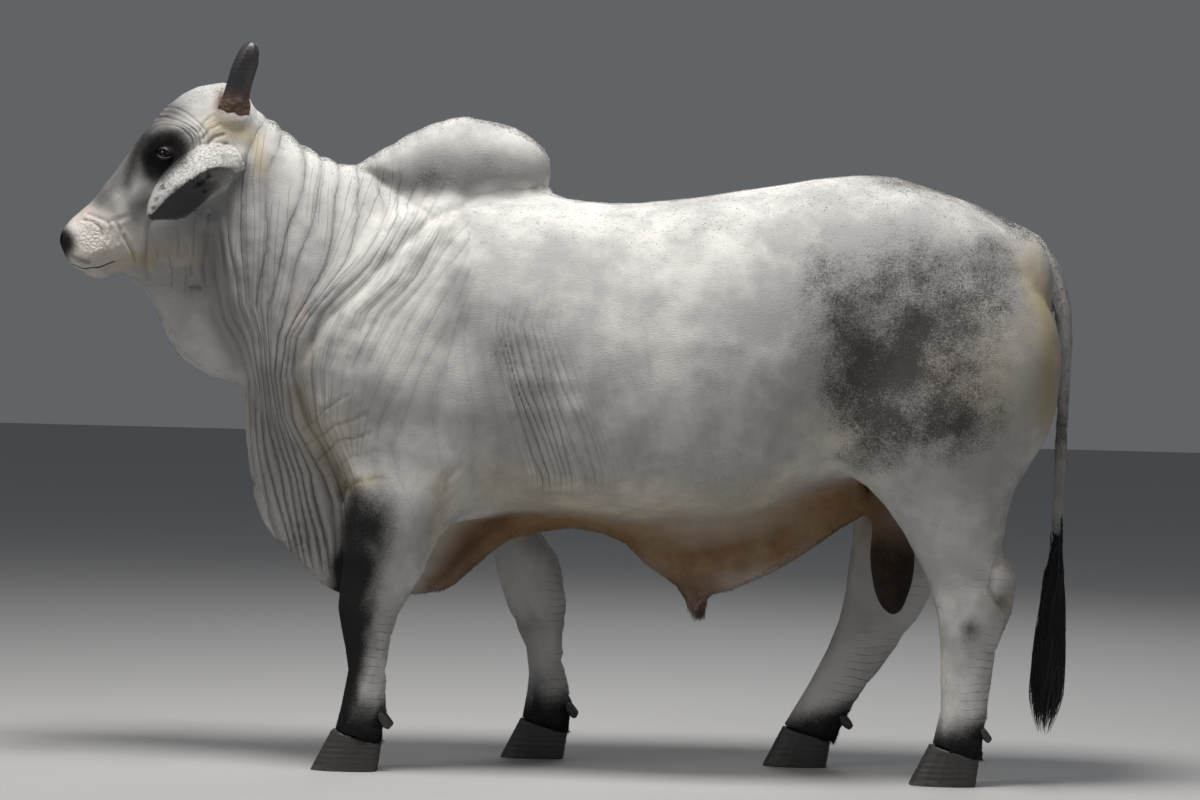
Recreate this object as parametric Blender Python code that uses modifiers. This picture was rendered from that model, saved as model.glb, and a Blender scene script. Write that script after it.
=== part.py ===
"""A life-size grey Brahman bull, standing with its head raised and facing -X.

Metres, +Z up, with the origin on the floor under the middle of the animal. Its left side is -Y.
The flesh is built from lofted and rounded forms, fused and smoothed, then parted with thin cuts.
"""

import math
import random
from dataclasses import dataclass

import bmesh
import bpy
from mathutils import Matrix, Vector

# Driving dimensions
GAP = 0.0003
HIP_HEIGHT = 1.445
HEAD_TURN = math.radians(7.5)
HEAD_PIVOT = Vector((-0.70, 0.0, 0.0))
HEAD_REACH = 0.012

BODY_VOXEL = 0.012
HEAD_VOXEL = 0.0055
BODY_TRIANGLES = 4800
HEAD_TRIANGLES = 2100

EYE_RADIUS = 0.0205
EYE_PLACE = Vector((-0.960, 0.1015, 1.441))
LID_THICKNESS = 0.0055
LID_GAPE = 0.0105
EAR_THICKNESS = 0.008
SWITCH_TOP = 0.590
SWITCH_TIP = 0.098
CORE_FOOT = 0.360
LOCK_COUNT = 22
LOCK_HALF_WIDTH = 0.0145
LOCK_HALF_DEPTH = 0.0045
SEED = 7

CORONET_FRONT, CORONET_REAR = (-0.062, 0.096), (0.058, 0.062)
SOLE_TOE, SOLE_HEEL = -0.112, 0.045
CLEFT = 0.003


@dataclass(frozen=True)
class Slice:
    """One cross-section of a form, spanned by two points of its side outline, each (x, z)."""

    near: tuple
    far: tuple
    half: float
    y: float = 0.0
    widest: float = 0.5
    power: float = 2.2


@dataclass(frozen=True)
class Finish:
    """The colour and surface of a material."""

    name: str
    colour: tuple
    roughness: float


COAT = Finish("grey_coat", (0.62, 0.60, 0.57), 0.85)
DARK_SKIN = Finish("dark_skin", (0.05, 0.042, 0.038), 0.6)
HORN = Finish("horn", (0.10, 0.085, 0.075), 0.45)
HOOF = Finish("hoof", (0.035, 0.032, 0.03), 0.5)
EYE = Finish("eye", (0.015, 0.01, 0.008), 0.08)
SWITCH = Finish("switch_hair", (0.012, 0.011, 0.011), 0.6)


def clear_scene():
    """Removes what the file opened with."""
    for thing in list(bpy.data.objects):
        bpy.data.objects.remove(thing)


def collection(name, shown=True):
    """A new collection, left out of the view when it holds only helpers."""
    made = bpy.data.collections.new(name)
    bpy.context.scene.collection.children.link(made)
    made.hide_render = not shown
    return made


def material(finish):
    """The material of a finish, made once."""
    made = bpy.data.materials.get(finish.name)
    if made:
        return made
    made = bpy.data.materials.new(finish.name)
    made.use_nodes = True
    shader = made.node_tree.nodes["Principled BSDF"]
    shader.inputs["Base Color"].default_value = (*finish.colour, 1)
    shader.inputs["Roughness"].default_value = finish.roughness
    return made


def object_of(mesh, name, home):
    """A named object for a mesh in a collection."""
    made = bpy.data.objects.new(name, mesh)
    home.objects.link(made)
    return made


def mesh_from(bm, name):
    """A mesh with its faces pointing out, from a bmesh that is then freed."""
    bmesh.ops.recalc_face_normals(bm, faces=bm.faces)
    mesh = bpy.data.meshes.new(name)
    bm.to_mesh(mesh)
    bm.free()
    return mesh


def spline(values, t):
    """A Catmull-Rom curve through rows of numbers, at t from 0 to the last row."""
    last = len(values) - 1
    i = min(int(t), last - 1)
    f = t - i
    before, start, end, after = (values[min(max(k, 0), last)] for k in range(i - 1, i + 3))
    return [
        0.5 * (2 * b + (c - a) * f + (2 * a - 5 * b + 4 * c - d) * f * f + (3 * b - a - 3 * c + d) * f**3)
        for a, b, c, d in zip(before, start, end, after)
    ]


def ring_points(row, around):
    """The points of one cross-section: an egg with rounded-square sides, between two outline points."""
    near_x, near_z, far_x, far_z, half, y, widest, power = row
    near, far = Vector((near_x, y, near_z)), Vector((far_x, y, far_z))
    centre = far.lerp(near, widest)
    points = []
    for k in range(around):
        angle = 2 * math.pi * k / around
        side, up = math.cos(angle), math.sin(angle)
        reach = (near - centre) if up > 0 else (centre - far)
        bulge = (abs(side) ** power + abs(up) ** power) ** (-1 / power)
        points.append(centre + Vector((0, half * side * bulge, 0)) + reach * (up * bulge))
    return points


def loft(name, slices, home, around=20, steps=3):
    """A closed form through cross-sections, with domed ends."""
    rows = [[*s.near, *s.far, s.half, s.y, s.widest, s.power] for s in slices]
    count = (len(rows) - 1) * steps
    bm = bmesh.new()
    rings = []
    for j in range(count + 1):
        points = ring_points(spline(rows, j / steps), around)
        rings.append([bm.verts.new(p) for p in points])
    for first, second in zip(rings, rings[1:]):
        for k in range(around):
            n = (k + 1) % around
            bm.faces.new((first[k], first[n], second[n], second[k]))
    bm.faces.new(rings[0])
    bm.faces.new(rings[-1])
    return object_of(mesh_from(bm, name), name, home)


def ellipsoid(name, centre, radii, home, tilt=0.0, twist=0.0):
    """A rounded muscle or bone, tilted about Y and then turned about Z, in degrees."""
    bm = bmesh.new()
    turn = Matrix.Rotation(math.radians(twist), 4, "Z") @ Matrix.Rotation(math.radians(tilt), 4, "Y")
    place = Matrix.Translation(centre) @ turn @ Matrix.Diagonal((*radii, 1))
    bmesh.ops.create_uvsphere(bm, u_segments=24, v_segments=14, radius=1, matrix=place)
    return object_of(mesh_from(bm, name), name, home)


def pair(name, centre, radii, home, tilt=0.0, twist=0.0):
    """The same rounded form on both sides."""
    for side, label in ((-1, "left"), (1, "right")):
        place = (centre[0], side * centre[1], centre[2])
        ellipsoid(f"{name}_{label}", place, radii, home, tilt, -side * twist)


def tube(name, points, radii, home, sides=12):
    """A round closed tube along points, with a radius at each."""
    curve = bpy.data.curves.new(name, "CURVE")
    curve.dimensions = "3D"
    curve.bevel_depth = 1.0
    curve.bevel_resolution = sides // 4 - 1
    curve.resolution_u = 2
    curve.use_fill_caps = True
    line = curve.splines.new("NURBS")
    line.points.add(len(points) - 1)
    for knot, place, radius in zip(line.points, points, radii):
        knot.co = (*place, 1)
        knot.radius = radius
    line.order_u = 3
    line.use_endpoint_u = True
    made = object_of(curve, name + "_curve", home)
    return as_mesh(made, name, home)


def as_mesh(source, name, home):
    """A mesh object of what an object shows, welded, which takes its place."""
    bpy.context.view_layer.update()
    seen = source.evaluated_get(bpy.context.evaluated_depsgraph_get())
    mesh = bpy.data.meshes.new_from_object(seen)
    mesh.transform(source.matrix_world)
    bpy.data.objects.remove(source)
    bm = bmesh.new()
    bm.from_mesh(mesh)
    bmesh.ops.remove_doubles(bm, verts=bm.verts, dist=1e-5)
    return object_of(mesh_from(bm, name), name, home)


def head_turn():
    """The turn of the straight head about the neck, with its reach forward."""
    there = Matrix.Translation(HEAD_PIVOT - Vector((HEAD_REACH, 0, 0)))
    return there @ Matrix.Rotation(HEAD_TURN, 4, "Z") @ Matrix.Translation(-HEAD_PIVOT)


def turned_with_head(place):
    """A point of the straight head, after the head has turned."""
    return head_turn() @ Vector(place)


def turn_with_head(thing):
    """Turns a form of the head about the neck."""
    thing.data.transform(head_turn())


def torso_forms(home):
    """Rib cage, belly and rump, with the shoulder, hip and thigh muscles."""
    loft(
        "trunk",
        [
            Slice((-0.60, 1.20), (-0.58, 0.84), 0.090),
            Slice((-0.55, 1.27), (-0.53, 0.72), 0.170, widest=0.45),
            Slice((-0.45, 1.34), (-0.44, 0.63), 0.240, widest=0.42),
            Slice((-0.30, 1.370), (-0.30, 0.585), 0.285, widest=0.42),
            Slice((-0.15, 1.380), (-0.15, 0.585), 0.312, widest=0.43),
            Slice((0.00, 1.368), (0.00, 0.592), 0.330, widest=0.44),
            Slice((0.15, 1.360), (0.15, 0.588), 0.348, widest=0.43),
            Slice((0.30, 1.378), (0.30, 0.583), 0.354, widest=0.43),
            Slice((0.45, 1.402), (0.45, 0.600), 0.345, widest=0.45),
            Slice((0.58, 1.425), (0.58, 0.658), 0.318, widest=0.48),
            Slice((0.70, HIP_HEIGHT), (0.70, 0.712), 0.292, widest=0.52),
            Slice((0.83, HIP_HEIGHT - 0.018), (0.83, 0.735), 0.275, widest=0.56),
            Slice((0.94, HIP_HEIGHT - 0.060), (0.95, 0.740), 0.245, widest=0.58),
            Slice((1.035, 1.318), (1.06, 0.765), 0.195, widest=0.58),
            Slice((1.105, 1.245), (1.135, 0.830), 0.135, widest=0.55),
            Slice((1.148, 1.160), (1.165, 0.930), 0.070),
        ],
        home,
        around=28,
    )
    pair("shoulder", (-0.345, 0.140, 0.985), (0.255, 0.170, 0.360), home, tilt=12)
    pair("shoulder_blade", (-0.250, 0.112, 1.170), (0.150, 0.120, 0.185), home, tilt=14)
    pair("upper_arm", (-0.355, 0.190, 0.740), (0.165, 0.112, 0.190), home, tilt=-20)
    pair("shoulder_point", (-0.500, 0.130, 0.880), (0.115, 0.115, 0.165), home)
    pair("hip_bone", (0.610, 0.132, 1.312), (0.170, 0.110, 0.080), home, tilt=4)
    pair("rump_muscle", (0.830, 0.130, 1.170), (0.260, 0.150, 0.225), home, tilt=10)
    pair("thigh_muscle", (0.940, 0.150, 0.960), (0.235, 0.155, 0.300), home, tilt=4)
    pair("stifle_muscle", (0.800, 0.150, 0.850), (0.170, 0.145, 0.190), home, tilt=-10)
    pair("pin_bone", (1.035, 0.085, 1.170), (0.120, 0.090, 0.150), home, tilt=14)
    ellipsoid("tail_head", (0.985, 0.0, 1.325), (0.110, 0.055, 0.050), home, tilt=30)


def neck_forms(home):
    """The neck, from behind the jaw to inside the shoulders."""
    loft(
        "neck_core",
        [
            Slice((-0.775, 1.572), (-0.905, 1.170), 0.100),
            Slice((-0.700, 1.522), (-0.850, 1.080), 0.132, widest=0.48),
            Slice((-0.635, 1.477), (-0.795, 0.970), 0.160, widest=0.46),
            Slice((-0.570, 1.443), (-0.735, 0.860), 0.190, widest=0.44),
            Slice((-0.500, 1.420), (-0.660, 0.755), 0.222, widest=0.44),
            Slice((-0.420, 1.390), (-0.560, 0.670), 0.250, widest=0.44),
            Slice((-0.330, 1.365), (-0.430, 0.620), 0.275, widest=0.44),
        ],
        home,
        around=24,
    )


def hump_form(home):
    """The hump, a thick roll that leans back over the withers."""
    loft(
        "hump_roll",
        [
            Slice((-0.525, 1.432), (-0.520, 1.350), 0.045),
            Slice((-0.460, 1.470), (-0.430, 1.330), 0.080),
            Slice((-0.390, 1.513), (-0.340, 1.330), 0.100),
            Slice((-0.310, 1.545), (-0.260, 1.330), 0.112),
            Slice((-0.225, 1.556), (-0.190, 1.335), 0.115, widest=0.55),
            Slice((-0.145, 1.544), (-0.140, 1.345), 0.108, widest=0.55),
            Slice((-0.080, 1.508), (-0.100, 1.365), 0.090),
            Slice((-0.035, 1.455), (-0.080, 1.378), 0.062),
            Slice((-0.020, 1.415), (-0.060, 1.385), 0.030),
        ],
        home,
    )


def dewlap_forms(home):
    """The loose skin under the throat, along the breast, between the forelegs and back to the navel."""
    loft(
        "throat_fold",
        [
            Slice((-1.045, 1.170), (-1.058, 1.140), 0.026),
            Slice((-0.975, 1.175), (-1.010, 1.100), 0.042),
            Slice((-0.900, 1.155), (-0.985, 1.035), 0.048),
            Slice((-0.850, 1.100), (-0.960, 0.975), 0.050),
            Slice((-0.810, 1.030), (-0.925, 0.930), 0.048),
            Slice((-0.785, 0.975), (-0.870, 0.905), 0.044),
            Slice((-0.765, 0.945), (-0.812, 0.900), 0.034),
        ],
        home,
        around=16,
    )
    loft(
        "breast_fold",
        [
            Slice((-0.735, 1.020), (-0.795, 0.975), 0.040),
            Slice((-0.680, 0.925), (-0.785, 0.870), 0.046),
            Slice((-0.620, 0.830), (-0.775, 0.780), 0.046),
            Slice((-0.560, 0.755), (-0.763, 0.690), 0.044),
            Slice((-0.520, 0.700), (-0.742, 0.600), 0.044),
            Slice((-0.480, 0.660), (-0.700, 0.530), 0.044),
            Slice((-0.450, 0.640), (-0.650, 0.482), 0.042),
            Slice((-0.420, 0.630), (-0.605, 0.440), 0.040),
            Slice((-0.380, 0.620), (-0.550, 0.402), 0.038),
            Slice((-0.330, 0.620), (-0.470, 0.392), 0.036),
            Slice((-0.280, 0.620), (-0.370, 0.403), 0.036),
            Slice((-0.220, 0.620), (-0.265, 0.412), 0.034),
            Slice((-0.160, 0.620), (-0.200, 0.480), 0.034),
            Slice((-0.080, 0.620), (-0.100, 0.548), 0.036),
            Slice((0.030, 0.620), (0.030, 0.566), 0.040),
        ],
        home,
        around=16,
    )


def sheath_forms(home):
    """The pendulous sheath under the belly, and its opening."""
    loft(
        "sheath_fold",
        [
            Slice((0.020, 0.620), (0.030, 0.566), 0.044),
            Slice((0.120, 0.620), (0.140, 0.548), 0.054),
            Slice((0.190, 0.620), (0.210, 0.482), 0.056),
            Slice((0.270, 0.620), (0.285, 0.440), 0.057),
            Slice((0.360, 0.620), (0.385, 0.424), 0.056),
            Slice((0.450, 0.630), (0.500, 0.470), 0.054),
            Slice((0.540, 0.655), (0.600, 0.530), 0.052),
            Slice((0.620, 0.700), (0.690, 0.590), 0.052),
            Slice((0.690, 0.750), (0.755, 0.645), 0.055),
        ],
        home,
        around=16,
    )
    tube(
        "sheath_spout",
        [(0.318, 0, 0.50), (0.322, 0, 0.445), (0.328, 0, 0.405), (0.330, 0, 0.366)],
        [0.050, 0.044, 0.030, 0.022],
        home,
    )


LEFT_FORE = (
    Slice((-0.500, 0.800), (-0.220, 0.800), 0.095, -0.195),
    Slice((-0.507, 0.680), (-0.235, 0.660), 0.098, -0.205),
    Slice((-0.508, 0.580), (-0.272, 0.555), 0.092, -0.212),
    Slice((-0.508, 0.500), (-0.308, 0.475), 0.078, -0.212),
    Slice((-0.512, 0.435), (-0.342, 0.415), 0.066, -0.208),
    Slice((-0.518, 0.385), (-0.368, 0.365), 0.062, -0.205),
    Slice((-0.511, 0.335), (-0.381, 0.320), 0.058, -0.203),
    Slice((-0.496, 0.285), (-0.388, 0.275), 0.047, -0.202),
    Slice((-0.491, 0.235), (-0.391, 0.230), 0.045, -0.200),
    Slice((-0.499, 0.190), (-0.391, 0.180), 0.050, -0.200),
    Slice((-0.508, 0.145), (-0.394, 0.130), 0.052, -0.200),
    Slice((-0.517, 0.100), (-0.398, 0.072), 0.055, -0.200),
    Slice((-0.525, 0.070), (-0.402, 0.040), 0.055, -0.200),
)
RIGHT_FORE = (
    Slice((-0.420, 0.800), (-0.140, 0.800), 0.095, 0.195),
    Slice((-0.340, 0.680), (-0.105, 0.660), 0.098, 0.205),
    Slice((-0.255, 0.585), (-0.058, 0.560), 0.090, 0.212),
    Slice((-0.192, 0.510), (-0.014, 0.490), 0.077, 0.210),
    Slice((-0.162, 0.440), (0.003, 0.430), 0.066, 0.206),
    Slice((-0.148, 0.385), (0.010, 0.375), 0.062, 0.204),
    Slice((-0.124, 0.335), (0.003, 0.325), 0.058, 0.202),
    Slice((-0.098, 0.285), (0.006, 0.275), 0.047, 0.201),
    Slice((-0.087, 0.235), (0.012, 0.230), 0.045, 0.200),
    Slice((-0.087, 0.190), (0.023, 0.180), 0.050, 0.200),
    Slice((-0.092, 0.145), (0.030, 0.130), 0.052, 0.200),
    Slice((-0.098, 0.100), (0.027, 0.072), 0.055, 0.200),
    Slice((-0.106, 0.070), (0.024, 0.040), 0.055, 0.200),
)
LEFT_HIND = (
    Slice((0.700, 0.900), (1.110, 0.900), 0.115, -0.160),
    Slice((0.735, 0.780), (1.100, 0.790), 0.112, -0.170),
    Slice((0.765, 0.680), (1.066, 0.690), 0.096, -0.175),
    Slice((0.795, 0.607), (1.050, 0.620), 0.078, -0.177),
    Slice((0.838, 0.535), (1.056, 0.550), 0.064, -0.176),
    Slice((0.872, 0.465), (1.086, 0.475), 0.057, -0.174),
    Slice((0.888, 0.410), (1.074, 0.415), 0.057, -0.173),
    Slice((0.897, 0.353), (1.052, 0.355), 0.052, -0.172),
    Slice((0.901, 0.300), (1.037, 0.298), 0.046, -0.171),
    Slice((0.904, 0.245), (1.028, 0.242), 0.044, -0.170),
    Slice((0.903, 0.190), (1.022, 0.186), 0.048, -0.170),
    Slice((0.896, 0.145), (1.018, 0.135), 0.051, -0.170),
    Slice((0.886, 0.100), (1.014, 0.078), 0.053, -0.170),
    Slice((0.878, 0.070), (1.010, 0.042), 0.053, -0.170),
)
RIGHT_HIND = (
    Slice((0.660, 0.900), (1.070, 0.920), 0.115, 0.160),
    Slice((0.672, 0.780), (1.035, 0.820), 0.112, 0.170),
    Slice((0.690, 0.680), (0.985, 0.710), 0.096, 0.175),
    Slice((0.700, 0.600), (0.935, 0.615), 0.078, 0.177),
    Slice((0.696, 0.530), (0.908, 0.535), 0.064, 0.176),
    Slice((0.690, 0.475), (0.904, 0.462), 0.057, 0.174),
    Slice((0.682, 0.420), (0.882, 0.385), 0.057, 0.173),
    Slice((0.666, 0.350), (0.830, 0.310), 0.052, 0.172),
    Slice((0.644, 0.290), (0.790, 0.250), 0.046, 0.171),
    Slice((0.617, 0.232), (0.752, 0.200), 0.044, 0.170),
    Slice((0.590, 0.182), (0.720, 0.158), 0.048, 0.170),
    Slice((0.564, 0.142), (0.698, 0.116), 0.051, 0.170),
    Slice((0.540, 0.100), (0.680, 0.072), 0.053, 0.170),
    Slice((0.530, 0.070), (0.672, 0.040), 0.053, 0.170),
)
# Where the middle of each hoof stands, (x, y)
FEET = {
    "fore_left": (-0.458, -0.200),
    "fore_right": (-0.036, 0.200),
    "hind_left": (0.948, -0.170),
    "hind_right": (0.608, 0.170),
}
# Where the dewclaws grow behind each fetlock, (x, z)
DEWCLAWS = {
    "fore_left": (-0.396, 0.128),
    "fore_right": (0.025, 0.128),
    "hind_left": (1.011, 0.132),
    "hind_right": (0.697, 0.122),
}


def leg_forms(home):
    """The four legs, with hock points."""
    for name, slices in (
        ("fore_left", LEFT_FORE),
        ("fore_right", RIGHT_FORE),
        ("hind_left", LEFT_HIND),
        ("hind_right", RIGHT_HIND),
    ):
        loft(f"{name}_column", slices, home)
    ellipsoid("hock_left", (1.040, -0.174, 0.490), (0.040, 0.032, 0.055), home, tilt=-10)
    ellipsoid("hock_right", (0.872, 0.174, 0.455), (0.036, 0.032, 0.055), home, tilt=22)
    pair("forearm_inside", (-0.250, 0.150, 0.660), (0.170, 0.055, 0.080), home)


def scrotum_form(home):
    """The scrotum, hanging between the thighs."""
    loft(
        "scrotum_sac",
        [
            Slice((0.745, 0.760), (0.865, 0.760), 0.060),
            Slice((0.745, 0.680), (0.858, 0.680), 0.048),
            Slice((0.740, 0.610), (0.850, 0.610), 0.050),
            Slice((0.738, 0.540), (0.848, 0.545), 0.058),
            Slice((0.742, 0.480), (0.846, 0.485), 0.063),
            Slice((0.754, 0.430), (0.836, 0.433), 0.058),
            Slice((0.772, 0.392), (0.820, 0.393), 0.034),
            Slice((0.788, 0.380), (0.802, 0.380), 0.012),
        ],
        home,
        around=16,
    )


def head_forms(home):
    """The skull, cheeks, brows, muzzle and lips, turned with the head."""
    before = set(home.objects)
    loft(
        "skull",
        [
            Slice((-1.213, 1.236), (-1.190, 1.182), 0.044),
            Slice((-1.201, 1.265), (-1.160, 1.163), 0.066, widest=0.52),
            Slice((-1.173, 1.296), (-1.122, 1.152), 0.075, widest=0.50),
            Slice((-1.134, 1.332), (-1.062, 1.158), 0.070, widest=0.50),
            Slice((-1.099, 1.380), (-1.000, 1.140), 0.074, widest=0.55),
            Slice((-1.065, 1.428), (-0.950, 1.130), 0.088, widest=0.60),
            Slice((-1.026, 1.485), (-0.895, 1.135), 0.106, widest=0.63),
            Slice((-0.977, 1.537), (-0.845, 1.165), 0.119, widest=0.66),
            Slice((-0.914, 1.577), (-0.790, 1.225), 0.123, widest=0.64),
            Slice((-0.850, 1.600), (-0.745, 1.300), 0.116, widest=0.62),
            Slice((-0.795, 1.596), (-0.715, 1.365), 0.100, widest=0.66),
            Slice((-0.758, 1.576), (-0.700, 1.420), 0.060),
        ],
        home,
        around=24,
    )
    pair("cheek", (-0.905, 0.068, 1.285), (0.095, 0.052, 0.115), home, tilt=30)
    pair("cheek_bone", (-0.985, 0.070, 1.378), (0.095, 0.036, 0.034), home, tilt=-52, twist=12)
    pair("brow", (-0.962, 0.078, 1.472), (0.070, 0.046, 0.038), home, tilt=-44, twist=8)
    pair("temple", (-0.880, 0.084, 1.470), (0.075, 0.040, 0.065), home)
    pair("horn_root", (-0.805, 0.076, 1.530), (0.052, 0.048, 0.046), home)
    pair("ear_root", (-0.800, 0.090, 1.430), (0.046, 0.040, 0.044), home)
    pair("nostril_wing", (-1.176, 0.042, 1.240), (0.034, 0.030, 0.032), home, tilt=-40)
    pair("upper_lip", (-1.140, 0.046, 1.206), (0.050, 0.035, 0.044), home, tilt=-30)
    ellipsoid("chin", (-1.106, 0.0, 1.166), (0.044, 0.048, 0.024), home, tilt=-8)
    ellipsoid("poll", (-0.840, 0.0, 1.567), (0.082, 0.058, 0.055), home, tilt=-12)
    ellipsoid("forehead", (-0.918, 0.0, 1.527), (0.120, 0.080, 0.057), home, tilt=-42)
    for thing in set(home.objects) - before:
        turn_with_head(thing)


def joined_copy(name, sources, home):
    """One mesh object holding copies of several."""
    bm = bmesh.new()
    for source in sources:
        bm.from_mesh(source.data)
    return object_of(mesh_from(bm, name), name, home)


def apply_all(thing):
    """Applies every modifier of a mesh object."""
    bpy.context.view_layer.update()
    seen = thing.evaluated_get(bpy.context.evaluated_depsgraph_get())
    mesh = bpy.data.meshes.new_from_object(seen)
    thing.modifiers.clear()
    thing.data = mesh


def fused(name, sources, home, voxel, smoothing, triangles):
    """Overlapping forms made one skin: voxels, smoothing, and fewer faces where it is flat."""
    thing = joined_copy(name, sources, home)
    remesh = thing.modifiers.new("voxels", "REMESH")
    remesh.mode = "VOXEL"
    remesh.voxel_size = voxel
    smooth = thing.modifiers.new("smooth", "SMOOTH")
    smooth.factor = 0.5
    smooth.iterations = smoothing
    apply_all(thing)
    faces = sum(len(p.vertices) - 2 for p in thing.data.polygons)
    fewer = thing.modifiers.new("fewer", "DECIMATE")
    fewer.ratio = triangles / faces
    apply_all(thing)
    return thing


def cut_sheet(name, points, y_from, y_to, home):
    """A thin bent sheet that parts the flesh: a line in the side view, stretched across."""
    bm = bmesh.new()
    rows = [[bm.verts.new((x, y, z)) for x, z in points] for y in (y_from, y_to)]
    for k in range(len(points) - 1):
        bm.faces.new((rows[0][k], rows[0][k + 1], rows[1][k + 1], rows[1][k]))
    thing = object_of(mesh_from(bm, name), name, home)
    wall = thing.modifiers.new("thickness", "SOLIDIFY")
    wall.thickness = GAP
    wall.offset = 0
    apply_all(thing)
    thing.display_type = "WIRE"
    return thing


def boolean(thing, operation, other, solver="EXACT"):
    """Applies a Boolean of an object or a collection."""
    step = thing.modifiers.new(operation.lower(), "BOOLEAN")
    step.operation = operation
    step.solver = solver
    if isinstance(other, bpy.types.Collection):
        step.operand_type = "COLLECTION"
        step.collection = other
    else:
        step.object = other
    apply_all(thing)


def loose_bodies(thing):
    """The separate closed surfaces of a mesh object, each a list of points and a list of faces."""
    bm = bmesh.new()
    bm.from_mesh(thing.data)
    bm.verts.index_update()
    left = set(bm.verts)
    found = []
    while left:
        queue = [left.pop()]
        group = set(queue)
        while queue:
            for edge in queue.pop().link_edges:
                for vert in edge.verts:
                    if vert in left:
                        left.remove(vert)
                        group.add(vert)
                        queue.append(vert)
        order = {v: i for i, v in enumerate(group)}
        faces = {f for v in group for f in v.link_faces}
        found.append(([v.co.copy() for v in group], [[order[v] for v in f.verts] for f in faces]))
    bm.free()
    return found


def body_volume(points, faces):
    """The volume that a closed surface holds."""
    total = 0.0
    for face in faces:
        for k in range(1, len(face) - 1):
            total += points[face[0]].dot(points[face[k]].cross(points[face[k + 1]])) / 6
    return total


def keep_largest(thing):
    """Leaves only the largest closed surface of an object."""
    points, faces = max(loose_bodies(thing), key=lambda body: body_volume(*body))
    mesh = bpy.data.meshes.new(thing.name)
    mesh.from_pydata(points, [], faces)
    thing.data = mesh


def grown(source, home, by=GAP):
    """A copy of an object whose surface stands out by a small gap."""
    thing = object_of(source.data.copy(), source.name + "_grown", home)
    out = thing.modifiers.new("out", "DISPLACE")
    out.strength = by
    out.mid_level = 0
    apply_all(thing)
    return thing


def fitted(thing, neighbours, workings):
    """Cuts an object back to a small gap from the nodes that it meets, and drops what is left inside them."""
    for node in neighbours:
        boolean(thing, "DIFFERENCE", node, "MANIFOLD")
        boolean(thing, "DIFFERENCE", grown(node, workings), "MANIFOLD")
    keep_largest(thing)


def finish_node(thing, finish, home):
    """Names the material of a finished node and moves it to the animal's collection."""
    thing.data.materials.clear()
    thing.data.materials.append(material(finish))
    for old in list(thing.users_collection):
        old.objects.unlink(thing)
    home.objects.link(thing)
    thing.data.shade_smooth()
    thing.data.set_sharp_from_angle(angle=math.radians(50))


# Each part's name with a point well inside it, which finds it after the cuts
ANCHORS = {
    "neck": (-0.70, 0.0, 1.25),
    "chest": (-0.30, 0.0, 1.00),
    "barrel": (0.25, 0.0, 1.00),
    "hindquarters": (0.85, 0.0, 1.05),
    "hump": (-0.25, 0.0, 1.45),
    "dewlap_throat": (-0.91, 0.0, 1.04),
    "dewlap_brisket": (-0.64, 0.0, 0.60),
    "sheath": (0.33, 0.0, 0.50),
    "scrotum": (0.795, 0.0, 0.48),
    "forearm_left": (-0.42, -0.21, 0.47),
    "forearm_right": (-0.10, 0.21, 0.47),
    "cannon_fore_left": (-0.46, -0.20, 0.26),
    "cannon_fore_right": (-0.05, 0.20, 0.26),
    "pastern_fore_left": (-0.455, -0.20, 0.125),
    "pastern_fore_right": (-0.045, 0.20, 0.125),
    "gaskin_left": (0.92, -0.177, 0.60),
    "gaskin_right": (0.81, 0.177, 0.60),
    "cannon_hind_left": (0.955, -0.172, 0.30),
    "cannon_hind_right": (0.73, 0.172, 0.29),
    "pastern_hind_left": (0.935, -0.17, 0.125),
    "pastern_hind_right": (0.61, 0.17, 0.110),
}


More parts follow.
